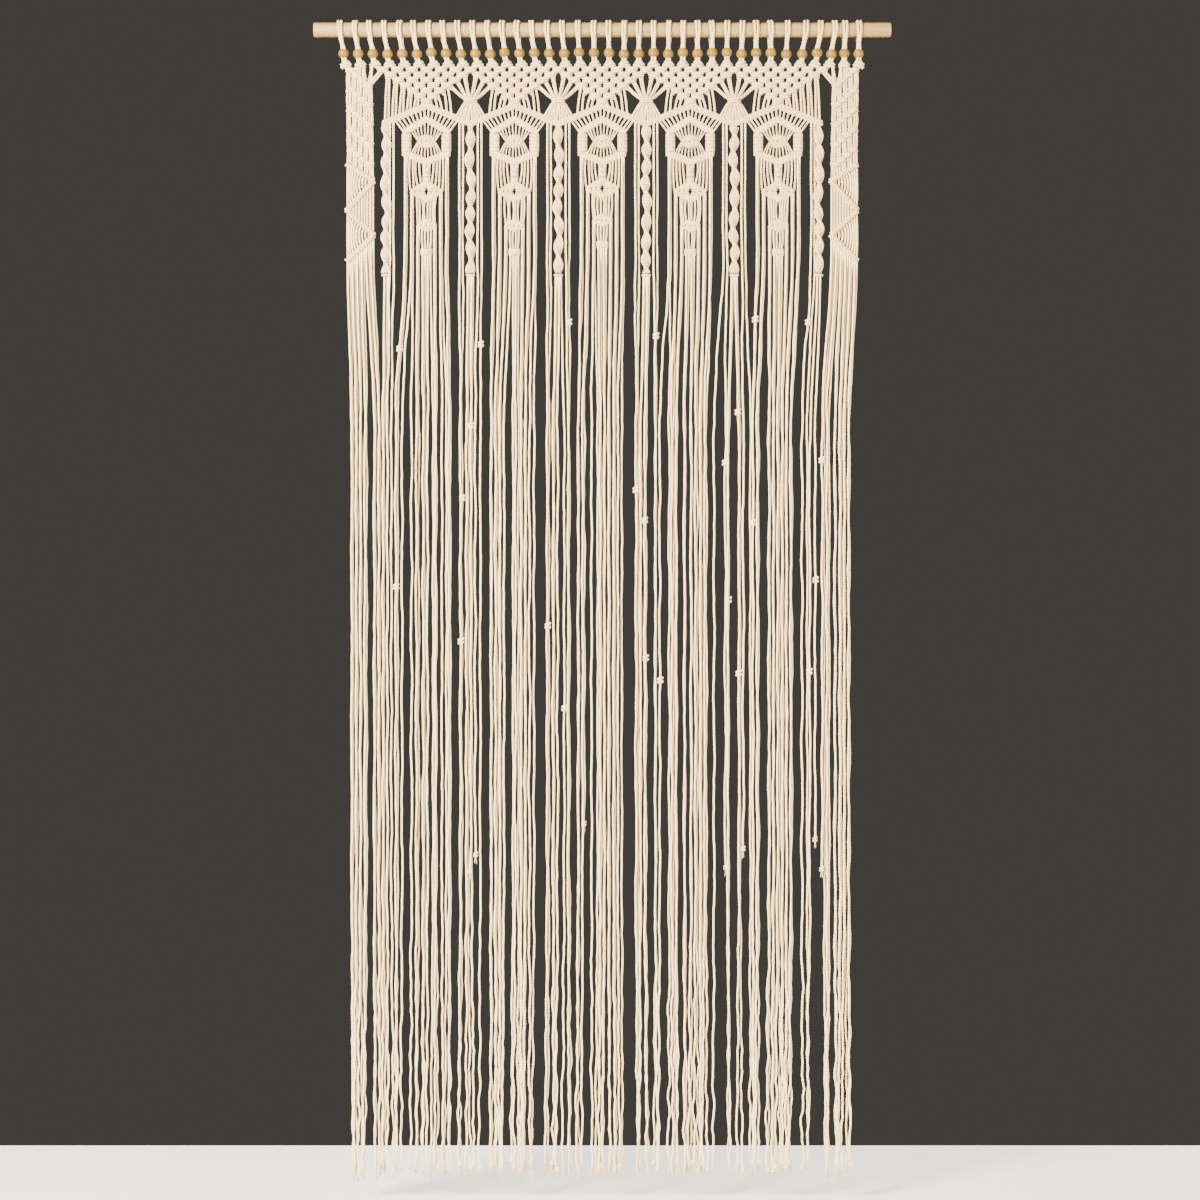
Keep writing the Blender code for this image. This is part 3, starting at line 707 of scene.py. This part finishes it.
def lozengeReach(kind, offset):
    # half height of a lozenge at a distance from its middle
    _, wide, tall = motif[kind]
    return tall * (1 - offset / wide)

def motifHeights(scallop):
    lifts = motif["middleLifts"] if scallop == layout["scallops"] // 2 else (0, 0, 0)
    heights = (motif["upper"][0], motif["lower"][0], motif["endKnot"])
    return [height + lift for height, lift in zip(heights, lifts)]

def makeBars():
    batch = newBatch()
    line = [(centres[0] - halfScallop, layout["zigzagValley"])]
    for centre in centres:
        line += [(centre, layout["zigzagPeak"]), (centre + halfScallop, layout["zigzagValley"])]
    stackedBar(batch, "double", *line)
    wide = motif["halfWidth"]
    for scallop, centre in enumerate(centres):
        for end, middle in (("roofEaves", "roofPeak"), ("sill", "foot")):
            low, high = motif[end], motif[middle]
            stackedBar(batch, "triple", (centre - wide, low), (centre, high), (centre + wide, low))
        upper, lower, _ = motifHeights(scallop)
        ovalMass(batch, centre, motif["ringZ"], motif["ringRows"])
        lozengeMass(batch, centre, upper, motif["upperRows"])
        lozengeMass(batch, centre, lower, motif["lowerRows"])
    makePiece("hitchedBars", batch)

makeBars()

def hangCord(batch, start, end, bow=0.0, depth=0.0, radius=motif["cord"]):
    # a short cord between two knots, bowed sideways a little
    middle = (mixed(start[0], end[0], 0.5) + bow, depth - 0.0004, mixed(start[1], end[1], 0.5))
    layCord(batch, [(start[0], depth, start[1]), middle, (end[0], depth, end[1])], 0.006, radius)

def makeHexagon(batch, centre, side):
    # the cords over the roof, the wall and the spokes of one half
    for strand in range(8):
        offset = (strand + 0.5) * motif["strandGap"]
        hangCord(batch, strandFoot(centre, side, strand, False), (centre + side * offset, roofZ(offset)))
    top, low = motif["roofEaves"] - motif["wallGap"], motif["sill"] + motif["wallGap"]
    for knot in range(motif["wallKnots"]):
        z = mixed(top, low, (knot + 0.5) / motif["wallKnots"])
        squareKnot(batch, "wall", centre + side * motif["wallX"], z, flip=knot % 2 > 0)
    ringZ, (ringWide, ringTall) = motif["ringZ"], motif["ringReach"]
    for onRing, offset in zip(motif["spokesIn"], motif["spokesOut"]):
        x = centre + side * onRing
        reach = ringTall * sqrt(1 - (onRing / ringWide) ** 2)
        roof = (centre + side * offset, roofZ(offset))
        sill = (centre + side * offset * 0.95, sillZ(offset))
        for start, end in ((roof, (x, ringZ + reach)), ((x, ringZ - reach), sill)):
            hangCord(batch, start, end, side * motif["bow"], radius=motif["spoke"])

def makeMotifs():
    batch = newBatch()
    draw = random.Random(8).uniform
    for scallop, centre in enumerate(centres):
        upper, lower, end = motifHeights(scallop)
        for side in (-1, 1):
            makeHexagon(batch, centre, side)
            for strand in range(2, 6):  # down to the upper lozenge
                offset = (strand + 0.5) * motif["strandGap"]
                onTop = (strand - 0.5) * motif["upper"][1] / 5
                start = (centre + side * offset, sillZ(offset))
                foot = (centre + side * onTop, upper + lozengeReach("upper", onTop))
                hangCord(batch, start, foot, side * draw(0.0004, 0.0022))
            for onTop in motif["betweenLozenges"]:
                onLow = onTop * 0.88
                start = (centre + side * onTop, upper - lozengeReach("upper", onTop) + 0.003)
                foot = (centre + side * onLow, lower + lozengeReach("lower", onLow) - 0.002)
                hangCord(batch, start, foot, draw(-0.0022, 0.0022), draw(-0.001, 0.001))
            for onLow, onEnd in motif["toEndKnot"]:
                start, foot = (centre + side * onLow, lower - 0.004), (centre + side * onEnd, end + 0.002)
                hangCord(batch, start, foot, side * draw(0.0004, 0.0016))
        for knot in range(motif["middleKnots"]):  # a sinnet over the upper lozenge
            z = motif["foot"] - motif["middleDrop"] - knot * motif["middlePitch"]
            squareKnot(batch, "middle", centre, z, flip=knot % 2 > 0)
        inner = motif["middleCords"][0]
        for side in (-1, 1):
            for place in motif["middleCords"]:
                start = (centre + side * place, sillZ(place))
                hangCord(batch, start, (centre + side * inner, upper + 0.012))
        squareKnot(batch, "end", centre, end)
    makePiece("motifCords", batch)

makeMotifs()

# spiral sinnets of half knots
sinnet = {
    "top": layout["zigzagValley"] - 0.0065, "end": -0.421, "pitch": 0.0039,
    "halfWidth": 0.0062, "halfDepth": 0.0025, "cord": 0.0018, "rise": 0.0016,
    "stray": 0.0014, "strayWaves": (52, 97),  # sideways wander, and its waves in radians a metre
    "halfTurn": 0.0318, "turnWave": 34,  # length of one half turn, and how it varies
    "core": 0.0018, "edgeShift": 0.006, "edgeStep": 0.004, "edgeCord": 0.0024,
    "endDepth": 0.0046, "endDrop": 0.004,
}
sinnetNodes = [f"sinnet_{index + 1}" for index in range(layout["scallops"] + 1)]

def sinnetX(index):
    edge = sinnet["edgeShift"]
    shift = edge if index == 0 else -edge if index == layout["scallops"] else 0.0
    return scallopX(index) - halfScallop + shift

def sinnetTurn(index, fallen):
    # sideways wander and turn of a ribbon of half knots at a distance below its top
    still = ease(fallen, 0.0, 0.05) * (1 - ease(fallen, 0.2, 0.25))
    slow, quick = sinnet["strayWaves"]
    wander = sin(fallen * slow + index * 2.1) + 0.7 * sin(fallen * quick + index * 4.7)
    turn = pi * fallen / sinnet["halfTurn"] + index * 0.9
    turn += 0.35 * sin(fallen * sinnet["turnWave"] + index * 1.3)
    return sinnetX(index) + sinnet["stray"] * wander * still, turn

def makeSinnets():
    batch = newBatch()
    top, end, wide = sinnet["top"], sinnet["end"], sinnet["halfWidth"]
    angles = [tau * corner / 8 for corner in range(8)]
    for index in range(layout["scallops"] + 1):
        middle = sinnetX(index)
        for knot in range(int((top - end) / sinnet["pitch"]) + 1):
            fallen = knot * sinnet["pitch"]
            x, turn = sinnetTurn(index, fallen)
            cosine, sine, ring = cos(turn), sin(turn), []
            for angle in angles:
                a, b = wide * cos(angle), sinnet["halfDepth"] * sin(angle)
                z = top - fallen + sinnet["rise"] * cos(angle)
                ring.append((x + a * cosine - b * sine, a * sine + b * cosine, z))
            layCord(batch, ring, 0.0055, sinnet["cord"], closed=True)
        for side in (-1, 1):
            shift = side * sinnet["core"]
            core, edge = [(middle + shift, 0, top + 0.006)], []
            for step in range(int((top - end) / sinnet["edgeStep"]) + 1):
                fallen = step * sinnet["edgeStep"]
                x, turn = sinnetTurn(index, fallen)
                edge.append((x + side * wide * cos(turn), side * wide * sin(turn), top - fallen))
                if step % 4 == 0:
                    core.append((x + shift, 0, top - fallen))
            layCord(batch, core + [(middle + shift, 0, end)], 0.02)
            layCord(batch, edge, 0.004, sinnet["edgeCord"])
        z, deep = end - sinnet["endDrop"], sinnet["endDepth"]
        ring = [(middle + wide * cos(angle), deep * sin(angle), z) for angle in angles]
        layCord(batch, ring, 0.0055, closed=True)
    makePiece("spiralSinnets", batch, nodes=sinnetNodes)

makeSinnets()

# side panels
panel = {
    "rows": (-0.07, -0.1045, -0.139, -0.1735, -0.208),  # height of each row's outer knot
    "drop": 0.0084, "knots": 4, "tilt": 0.3, "halfWidth": 0.024,
    "apart": 0.22, "pull": 0.08, "spread": 0.25,  # in widths of a column of two cords
    "belowKnots": 0.013,
    "lean": 0.0025,  # outward, at the top
    "zigzag": (-0.233, -0.262, -0.313, -0.356, -0.401),
    "strands": 12, "strandPitch": 0.004, "strandRadius": 0.0021, "crossGap": 0.0044,
    "crossEnd": (0.9, 0.024),  # share of the width, and drop below the first row
    "knotReach": 0.0055, "outerStart": 0.0046,  # how far from a bead's middle its cords start
    "arcs": 10, "arcRadius": 0.0019, "bow": 0.26, "shortest": 0.005,
    "barRadius": 0.0031, "barDepth": -0.0022,
}

def sideX(side):
    return side * (layout["beadCount"] - layout["sideBeads"]) / 2 * layout["beadPitch"]

def shareX(side, share, height=-1.0):
    # share runs from the panel's outer edge to its inner one; the upper part leans outward
    top, low = layout["netTop"], panel["zigzag"][0]
    outward = panel["lean"] * max(0.0, (height - low) / (top - low))
    return sideX(side) + side * (outward + panel["halfWidth"] * (1 - 2 * share))

def barHeight(share, leg):
    # the zigzag bar runs inward and down, then outward and down
    start, end = panel["zigzag"][leg:leg + 2]
    return mixed(start, end, share if leg % 2 == 0 else 1 - share)

def fillLeg(batch, side, share, leg):
    # cords between two legs of the bar: nested arcs where they open outward, straight where inward
    x, high, low = shareX(side, share), barHeight(share, leg), barHeight(share, leg + 1)
    if high - low < panel["shortest"]:
        return
    bow = side * panel["bow"] * (high - low) * share if leg % 2 == 0 else 0.0
    bent = [(x + bow * 0.8, -0.0006, mixed(high, low, fallen)) for fallen in (0.3, 0.7)]
    layCord(batch, [(x, 0, high), *bent, (x, 0, low)], 0.006, panel["arcRadius"])

def sideColumn(batch, side, column, hand, beads, draw):
    # one cord of a column, from a bead's knot through the rows to the zigzag bar
    columns = panel["knots"] + 1
    place = column + 0.5 + hand * panel["apart"]
    top = layout["netTop"] - 0.002
    x = shareX(side, place / columns, top)
    nearest, reach = min(beads, key=lambda middle: abs(middle - x)), panel["knotReach"]
    start = nearest + max(-reach, min(reach, x - nearest))
    if column == 0 and hand < 0:
        start = nearest + side * panel["outerStart"]
    points = [(start, 0.0, top)]
    for row in panel["rows"]:
        for moved, pull in ((column - 1, -panel["pull"]), (column, panel["pull"])):
            if 0 <= moved < panel["knots"]:
                height = row - moved * panel["drop"]
                x = shareX(side, (place + pull) / columns, height)
                points.append((x, draw(-0.0006, 0.0006), height))
        height = row - (column + 0.5) * panel["drop"] - panel["belowKnots"]
        x = shareX(side, place / columns, height)
        points.append((x + draw(-0.0004, 0.0004), draw(-0.0008, 0.0008), height))
    share = (column + 0.5 + hand * panel["spread"]) / columns
    points.append((shareX(side, share), 0.0, barHeight(share, 0)))
    layCord(batch, points, 0.006, panel["strandRadius"])

def makeSides():
    knots, cords = newBatch(), newBatch()
    draw = random.Random(21).uniform
    columns = panel["knots"] + 1
    zigzag = panel["zigzag"]
    for side in (-1, 1):
        last = layout["beadCount"] - 1
        beads = [beadX(index if side < 0 else last - index) for index in range(layout["sideBeads"])]
        for row in panel["rows"]:
            for knot in range(panel["knots"]):
                height = row - knot * panel["drop"]
                x = shareX(side, (knot + 1) / columns, height)
                squareKnot(knots, "side", x, height, side * panel["tilt"], flip=side > 0)
        for column in range(columns):
            for hand in (-1, 1):
                sideColumn(cords, side, column, hand, beads, draw)
        for arc in range(panel["arcs"]):
            for leg in range(3):
                fillLeg(cords, side, (arc + 0.5) / panel["arcs"], leg)
        edges = (shareX(side, 0.01), shareX(side, 0.99))
        for leg in range(4):
            ends = ((edges[leg % 2], zigzag[leg]), (edges[1 - leg % 2], zigzag[leg + 1]))
            hitchedLegs(knots, [(x, panel["barDepth"], z) for x, z in ends], panel["barRadius"])
        for middle in beads:
            squareKnot(knots, "top", middle, layout["netTop"])
        # the crossing into the first scallop
        cross = (side * layout["scallops"] / 2 * scallopWidth, layout["netTop"] - layout["netRow"])
        start = (beads[-1] - side * 0.002, layout["netTop"] - 0.002)
        share, drop = panel["crossEnd"]
        end = (shareX(side, share, cross[1]), panel["rows"][0] - drop)
        pairOfCords(cords, start, cross, panel["crossGap"])
        pairOfCords(cords, cross, end, panel["crossGap"])
    makePiece("sideKnots", knots)
    makePiece("sideCords", cords)

makeSides()

# hanging strings
strings = {
    "radius": 0.0018, "stretch": 0.0125,
    "depth": 0.0023, "depthDraw": 0.0006, "wave": 0.0009, "kink": 0.0009,
    "lift": 0.012, "jitter": 0.01,  # of the lower ends
    "hang": 0.38, "settle": 0.3,  # plumb down to here below the rod, then into the bundles
    "fall": (1.42, 1.98),  # where the bends grow that folding left in the ends
    "crimp": 0.0004,  # small bends left by the twist
    "bends": ((0.16, 0.3), (0.07, 0.11), (0.035, 0.055)),  # lengths of the three sizes of bend
    "sag": (0.6, 1.3), "drift": 0.004,  # of one string from another
    "reach": 0.016,  # most that a string moves sideways
    "behind": (0.1, 0.85), "behindGap": 0.006,  # how far every second string hides behind its neighbour
    "short": -1.9,  # a string that ends above this is a short one
    # each start's distance from a scallop's middle, what it leaves, and how far below that one's middle
    "starts": (
        (0.0022, "end", 0.002), (0.0066, "end", 0.002), (0.0134, "lower", 0.001), (0.0156, "lower", 0.0),
        (0.0238, "upper", 0.002), (0.0262, "upper", 0.0), (0.0342, "sill", 0.0), (0.037, "sill", 0.0),
    ),
    "besideSinnet": (0.013, 0.019),
    "underSinnet": (-0.0045, -0.0016, 0.0016, 0.0045), "underEdgeSinnet": (-0.0026, 0.0026),
    "knotRadius": 0.0026, "knotCord": 0.0018, "knotSize": 1.35, "endKnotSize": 1.05, "endKnotShare": 0.35,
    "knotRings": ((0.0, 0.0022), (1.1, -0.0022)), "knotSlope": 0.0012,  # turn and height of its two rings
    "plies": 5, "plyRadius": 0.0009, "plyStart": 0.003, "plyLength": 0.014,
    "plyTurn": 0.4, "plySpread": (0.0012, 0.0034), "plyShare": (0.6, 1.0), "plyWidths": (1.0, 0.8, 0.3),
}

# left and right edge of each bundle of strings half way down, in millimetres from the middle
bundles = (
    (-436, -406), (-397, -371), (-368, -352), (-332, -327), (-322, -317), (-313, -300),
    (-294, -284), (-280, -277), (-273, -260), (-247, -239), (-236, -219), (-214, -209),
    (-194, -168), (-156, -149), (-147, -123), (-119, -115), (-96, -91), (-88, -76),
    (-68, -64), (-61, -53), (-43, -30), (-22, -17), (-10, 18), (19, 27), (30, 37),
    (58, 79), (90, 100), (113, 133), (140, 149), (153, 168), (169, 186), (211, 222),
    (234, 245), (254, 272), (285, 331), (342, 348), (355, 363), (369, 385), (400, 407),
    (408, 432),
)

# knots along strings, as millimetres from the middle and below the rod
stringKnots = (
    (-352, 547), (-211, 540), (-58, 509), (-229, 685), (-241, 811), (98, 529), (259, 507),
    (359, 507), (58, 793), (73, 852), (261, 851), (377, 743), (231, 665), (209, 748),
    (-247, 1062), (-93, 1033), (-65, 1173), (-359, 960), (98, 1126), (237, 1121),
    (359, 1105), (219, 987), (370, 954), (75, 1084),
)
shortStrings = ((-221, 1433), (-230, 1462), (-30, 1380), (209, 1455), (246, 1423), (370, 1407), (372, 1458))

def stringRoots():
    # every string's start and kind, left to right
    roots = []
    zigzag, wide = panel["zigzag"], panel["halfWidth"]
    for side in (-1, 1):
        outer = sideX(side) + side * wide
        rise = (zigzag[3] - zigzag[4]) / (2 * wide)
        for strand in range(panel["strands"]):
            x = sideX(side) + (strand - (panel["strands"] - 1) / 2) * panel["strandPitch"]
            roots.append((x, zigzag[4] + rise * abs(x - outer), "macrame"))
    for scallop, centre in enumerate(centres):
        upper, lower, end = motifHeights(scallop)
        for side in (-1, 1):
            for offset, piece, drop in strings["starts"]:
                heights = {"end": end, "lower": lower, "upper": upper, "sill": sillZ(offset)}
                roots.append((centre + side * offset, heights[piece] - drop, "macrame"))
            for place in strings["besideSinnet"]:
                offset = halfScallop - place
                roots.append((centre + side * offset, zigzagZ(offset), "macrame"))
    for index in range(layout["scallops"] + 1):
        isEdge = index in (0, layout["scallops"])
        for place in strings["underEdgeSinnet" if isEdge else "underSinnet"]:
            roots.append((sinnetX(index) + place, sinnet["end"] - 0.002, "sinnet"))
    return sorted(roots)

def bundlePlaces(count):
    # shares the strings out over the bundles by their widths
    spans = [(low / 1000, high / 1000) for low, high in bundles]
    total = sum(high - low for low, high in spans)
    places = []
    for index in range(count):
        walked = (index + 0.5) * total / count
        for low, high in spans:
            if walked <= high - low:
                places.append(low + walked)
                break
            walked -= high - low
        else:
            places.append(spans[-1][1])
    return places

def overhandKnot(batch, place, size):
    # a small knot tied in a string
    x, y, z = place
    reach = strings["knotRadius"] * size
    for tilt, rise in strings["knotRings"]:
        ring = []
        for corner in range(6):
            angle = tau * corner / 6
            height = z + rise * size + strings["knotSlope"] * cos(angle + tilt)
            ring.append((x + reach * cos(angle), y + reach * sin(angle), height))
        layCord(batch, ring, 0.004, strings["knotCord"] * size, closed=True)

def frayedTip(batch, place, draw):
    # the plies of a cut end, open a little
    x, y, z = place
    for ply in range(strings["plies"]):
        angle = tau * ply / strings["plies"] + draw(-strings["plyTurn"], strings["plyTurn"])
        spread = draw(*strings["plySpread"])
        reach = strings["plyLength"] * draw(*strings["plyShare"])
        points = [(x, y, z + strings["plyStart"])]
        for share in (0.5, 1.0):
            out = spread * share
            points.append((x + out * cos(angle), y + out * sin(angle), z - reach * share))
        layCord(batch, points, 0.006, strings["plyRadius"], sides=4, widths=strings["plyWidths"])

def stringLines(draw):
    # where each string starts, which place it settles into and where it ends
    roots = stringRoots()
    targets = bundlePlaces(len(roots))
    for index in range(1, len(targets), 2):
        gap = targets[index] - targets[index - 1]
        if gap < strings["behindGap"]:
            targets[index] -= gap * draw(*strings["behind"])
    lines = []
    reach, depth, jitter = strings["reach"], strings["depthDraw"], strings["jitter"]
    for index, ((x, z, source), target) in enumerate(zip(roots, targets)):
        target = x + max(-reach, min(reach, target - x))
        deep = strings["depth"] * (1 if index % 2 else -1) + draw(-depth, depth)
        low = layout["stringEnd"] + strings["lift"] + draw(-jitter, jitter)
        lines.append({"x": x, "z": z, "source": source, "target": target, "depth": deep, "low": low})
    for place, drop in shortStrings:
        whole = [line for line in lines if line["low"] <= strings["short"]]
        min(whole, key=lambda line: abs(line["target"] - place / 1000))["low"] = -drop / 1000
    return lines

def stringPoints(line, draw):
    # plumb at first, then sideways into a bundle, with more bends towards the end
    x, z, low = line["x"], line["z"], line["low"]
    count = max(4, int((z - low) / strings["stretch"]))
    phases = [draw(0, tau) for _ in range(5)]
    lengths = [draw(*span) for span in strings["bends"]]
    sag = draw(*strings["sag"])
    drift = draw(-strings["drift"], strings["drift"])
    plumb = max(strings["hang"], -z)
    points = []
    for step in range(count + 1):
        height = mixed(z, low, step / count)
        down = z - height
        share = ease(down, 0.0, 0.3)
        gather = ease(-height, plumb, plumb + strings["settle"])
        fall = ease(-height, *strings["fall"])
        wave = strings["wave"] * sag * share
        kink = strings["kink"] * sag * fall
        crimp = strings["crimp"] * share * (1 + 1.5 * fall)
        turns = [down / length * tau for length in lengths]
        side = mixed(x, line["target"], gather) + drift * fall + draw(-crimp, crimp)
        side += wave * sin(turns[0] + phases[0])
        side += (0.35 * wave + kink) * sin(turns[1] + phases[1])
        side += 0.7 * kink * sin(turns[2] + phases[2])
        deep = line["depth"] * ease(down, 0.0, 0.04) + 0.8 * wave * sin(turns[0] + phases[3])
        deep += 0.8 * kink * sin(turns[1] + phases[4]) + draw(-crimp, crimp)
        points.append((side, deep, height))
    return points

def makeStrings():
    draw = random.Random(17).uniform
    groups = {name: newBatch() for name in ("left", "middle", "right", "sinnet")}
    details = newBatch()
    lines = stringLines(draw)
    for index, line in enumerate(lines):
        line["points"] = stringPoints(line, draw)
        third = ("left", "middle", "right")[index * 3 // len(lines)]
        batch = groups["sinnet" if line["source"] == "sinnet" else third]
        layCord(batch, line["points"], 1.0, strings["radius"])
    for line in lines:
        x, y, z = line["points"][-1]
        frayedTip(details, (x, y, z), draw)
        if line["low"] > strings["short"] or draw(0, 1) < strings["endKnotShare"]:
            overhandKnot(details, (x, y, z + 0.004), strings["endKnotSize"])
    points = [point for line in lines for point in line["points"]]
    for place, drop in stringKnots:
        level = [point for point in points if abs(point[2] + drop / 1000) < 0.007]
        nearest = min(level, key=lambda point: abs(point[0] - place / 1000))
        overhandKnot(details, nearest, strings["knotSize"])
    for name in ("left", "middle", "right"):
        makePiece(f"{name}Strings", groups[name], stringCotton)
    makePiece("sinnetStrings", groups["sinnet"], stringCotton, sinnetNodes)
    makePiece("stringEnds", details, stringCotton)

makeStrings()
print("strings made")

# floor, light and camera
studio = {
    "floorPlace": Vector((0, -0.7, -2.03)), "floorSize": Vector((3.6, 2.4, 1)),
    "floorLook": {"Roughness": 0.7, "Base Color": (0.8, 0.79, 0.77, 1.0)},
    "background": (0.06, 0.054, 0.048, 1.0),
    "frameHeight": 2.08, "lens": 85.0, "sensor": 36.0, "aim": (-0.004, 0.0, -0.988),
    "lights": (  # name, place, size, power and colour
        ("keyLight", (-2.4, -3.0, 0.4), 1.4, 1150.0, (1.0, 0.95, 0.88)),
        ("fillLight", (2.8, -3.0, -0.9), 2.0, 420.0, (1.0, 0.96, 0.9)),
        ("backLight", (1.6, 3.0, 0.6), 2.0, 360.0, (1.0, 0.96, 0.9)),
    ),
}

def makeFloor():
    shell = bmesh.new()
    place = Matrix.LocRotScale(studio["floorPlace"], None, studio["floorSize"])
    bmesh.ops.create_grid(shell, x_segments=1, y_segments=1, size=0.5, matrix=place)
    made, _, _ = newMaterial("floorPale", studio["floorLook"])
    floor = addObject("floor", meshFrom(shell, "floor"), made)

def makeLight(name, place, size, power, colour):
    data = bpy.data.lights.new(name, "AREA")
    data.size = size
    data.energy = power
    data.color = colour
    lamp = addObject(name, data)
    lamp.location = place
    toward = Vector(studio["aim"]) - Vector(place)
    lamp.rotation_euler = toward.to_track_quat("-Z", "Y").to_euler()
    lamp.visible_glossy = place[1] < 0  # from behind it gives no shine at the beads' edges

def makeWorld():
    world = bpy.data.worlds.new("studio")
    world.use_nodes = True
    world.node_tree.nodes["Background"].inputs["Color"].default_value = studio["background"]
    bpy.context.scene.world = world

def makeCamera():
    data = bpy.data.cameras.new("camera")
    data.lens = studio["lens"]
    data.sensor_width = studio["sensor"]
    camera = addObject("camera", data)
    x, _, z = studio["aim"]
    camera.location = (x, -studio["frameHeight"] * studio["lens"] / studio["sensor"], z)
    camera.rotation_euler = (pi / 2, 0, 0)
    bpy.context.scene.camera = camera

makeFloor()
for light in studio["lights"]:
    makeLight(*light)
makeWorld()
makeCamera()
print("studio ready")
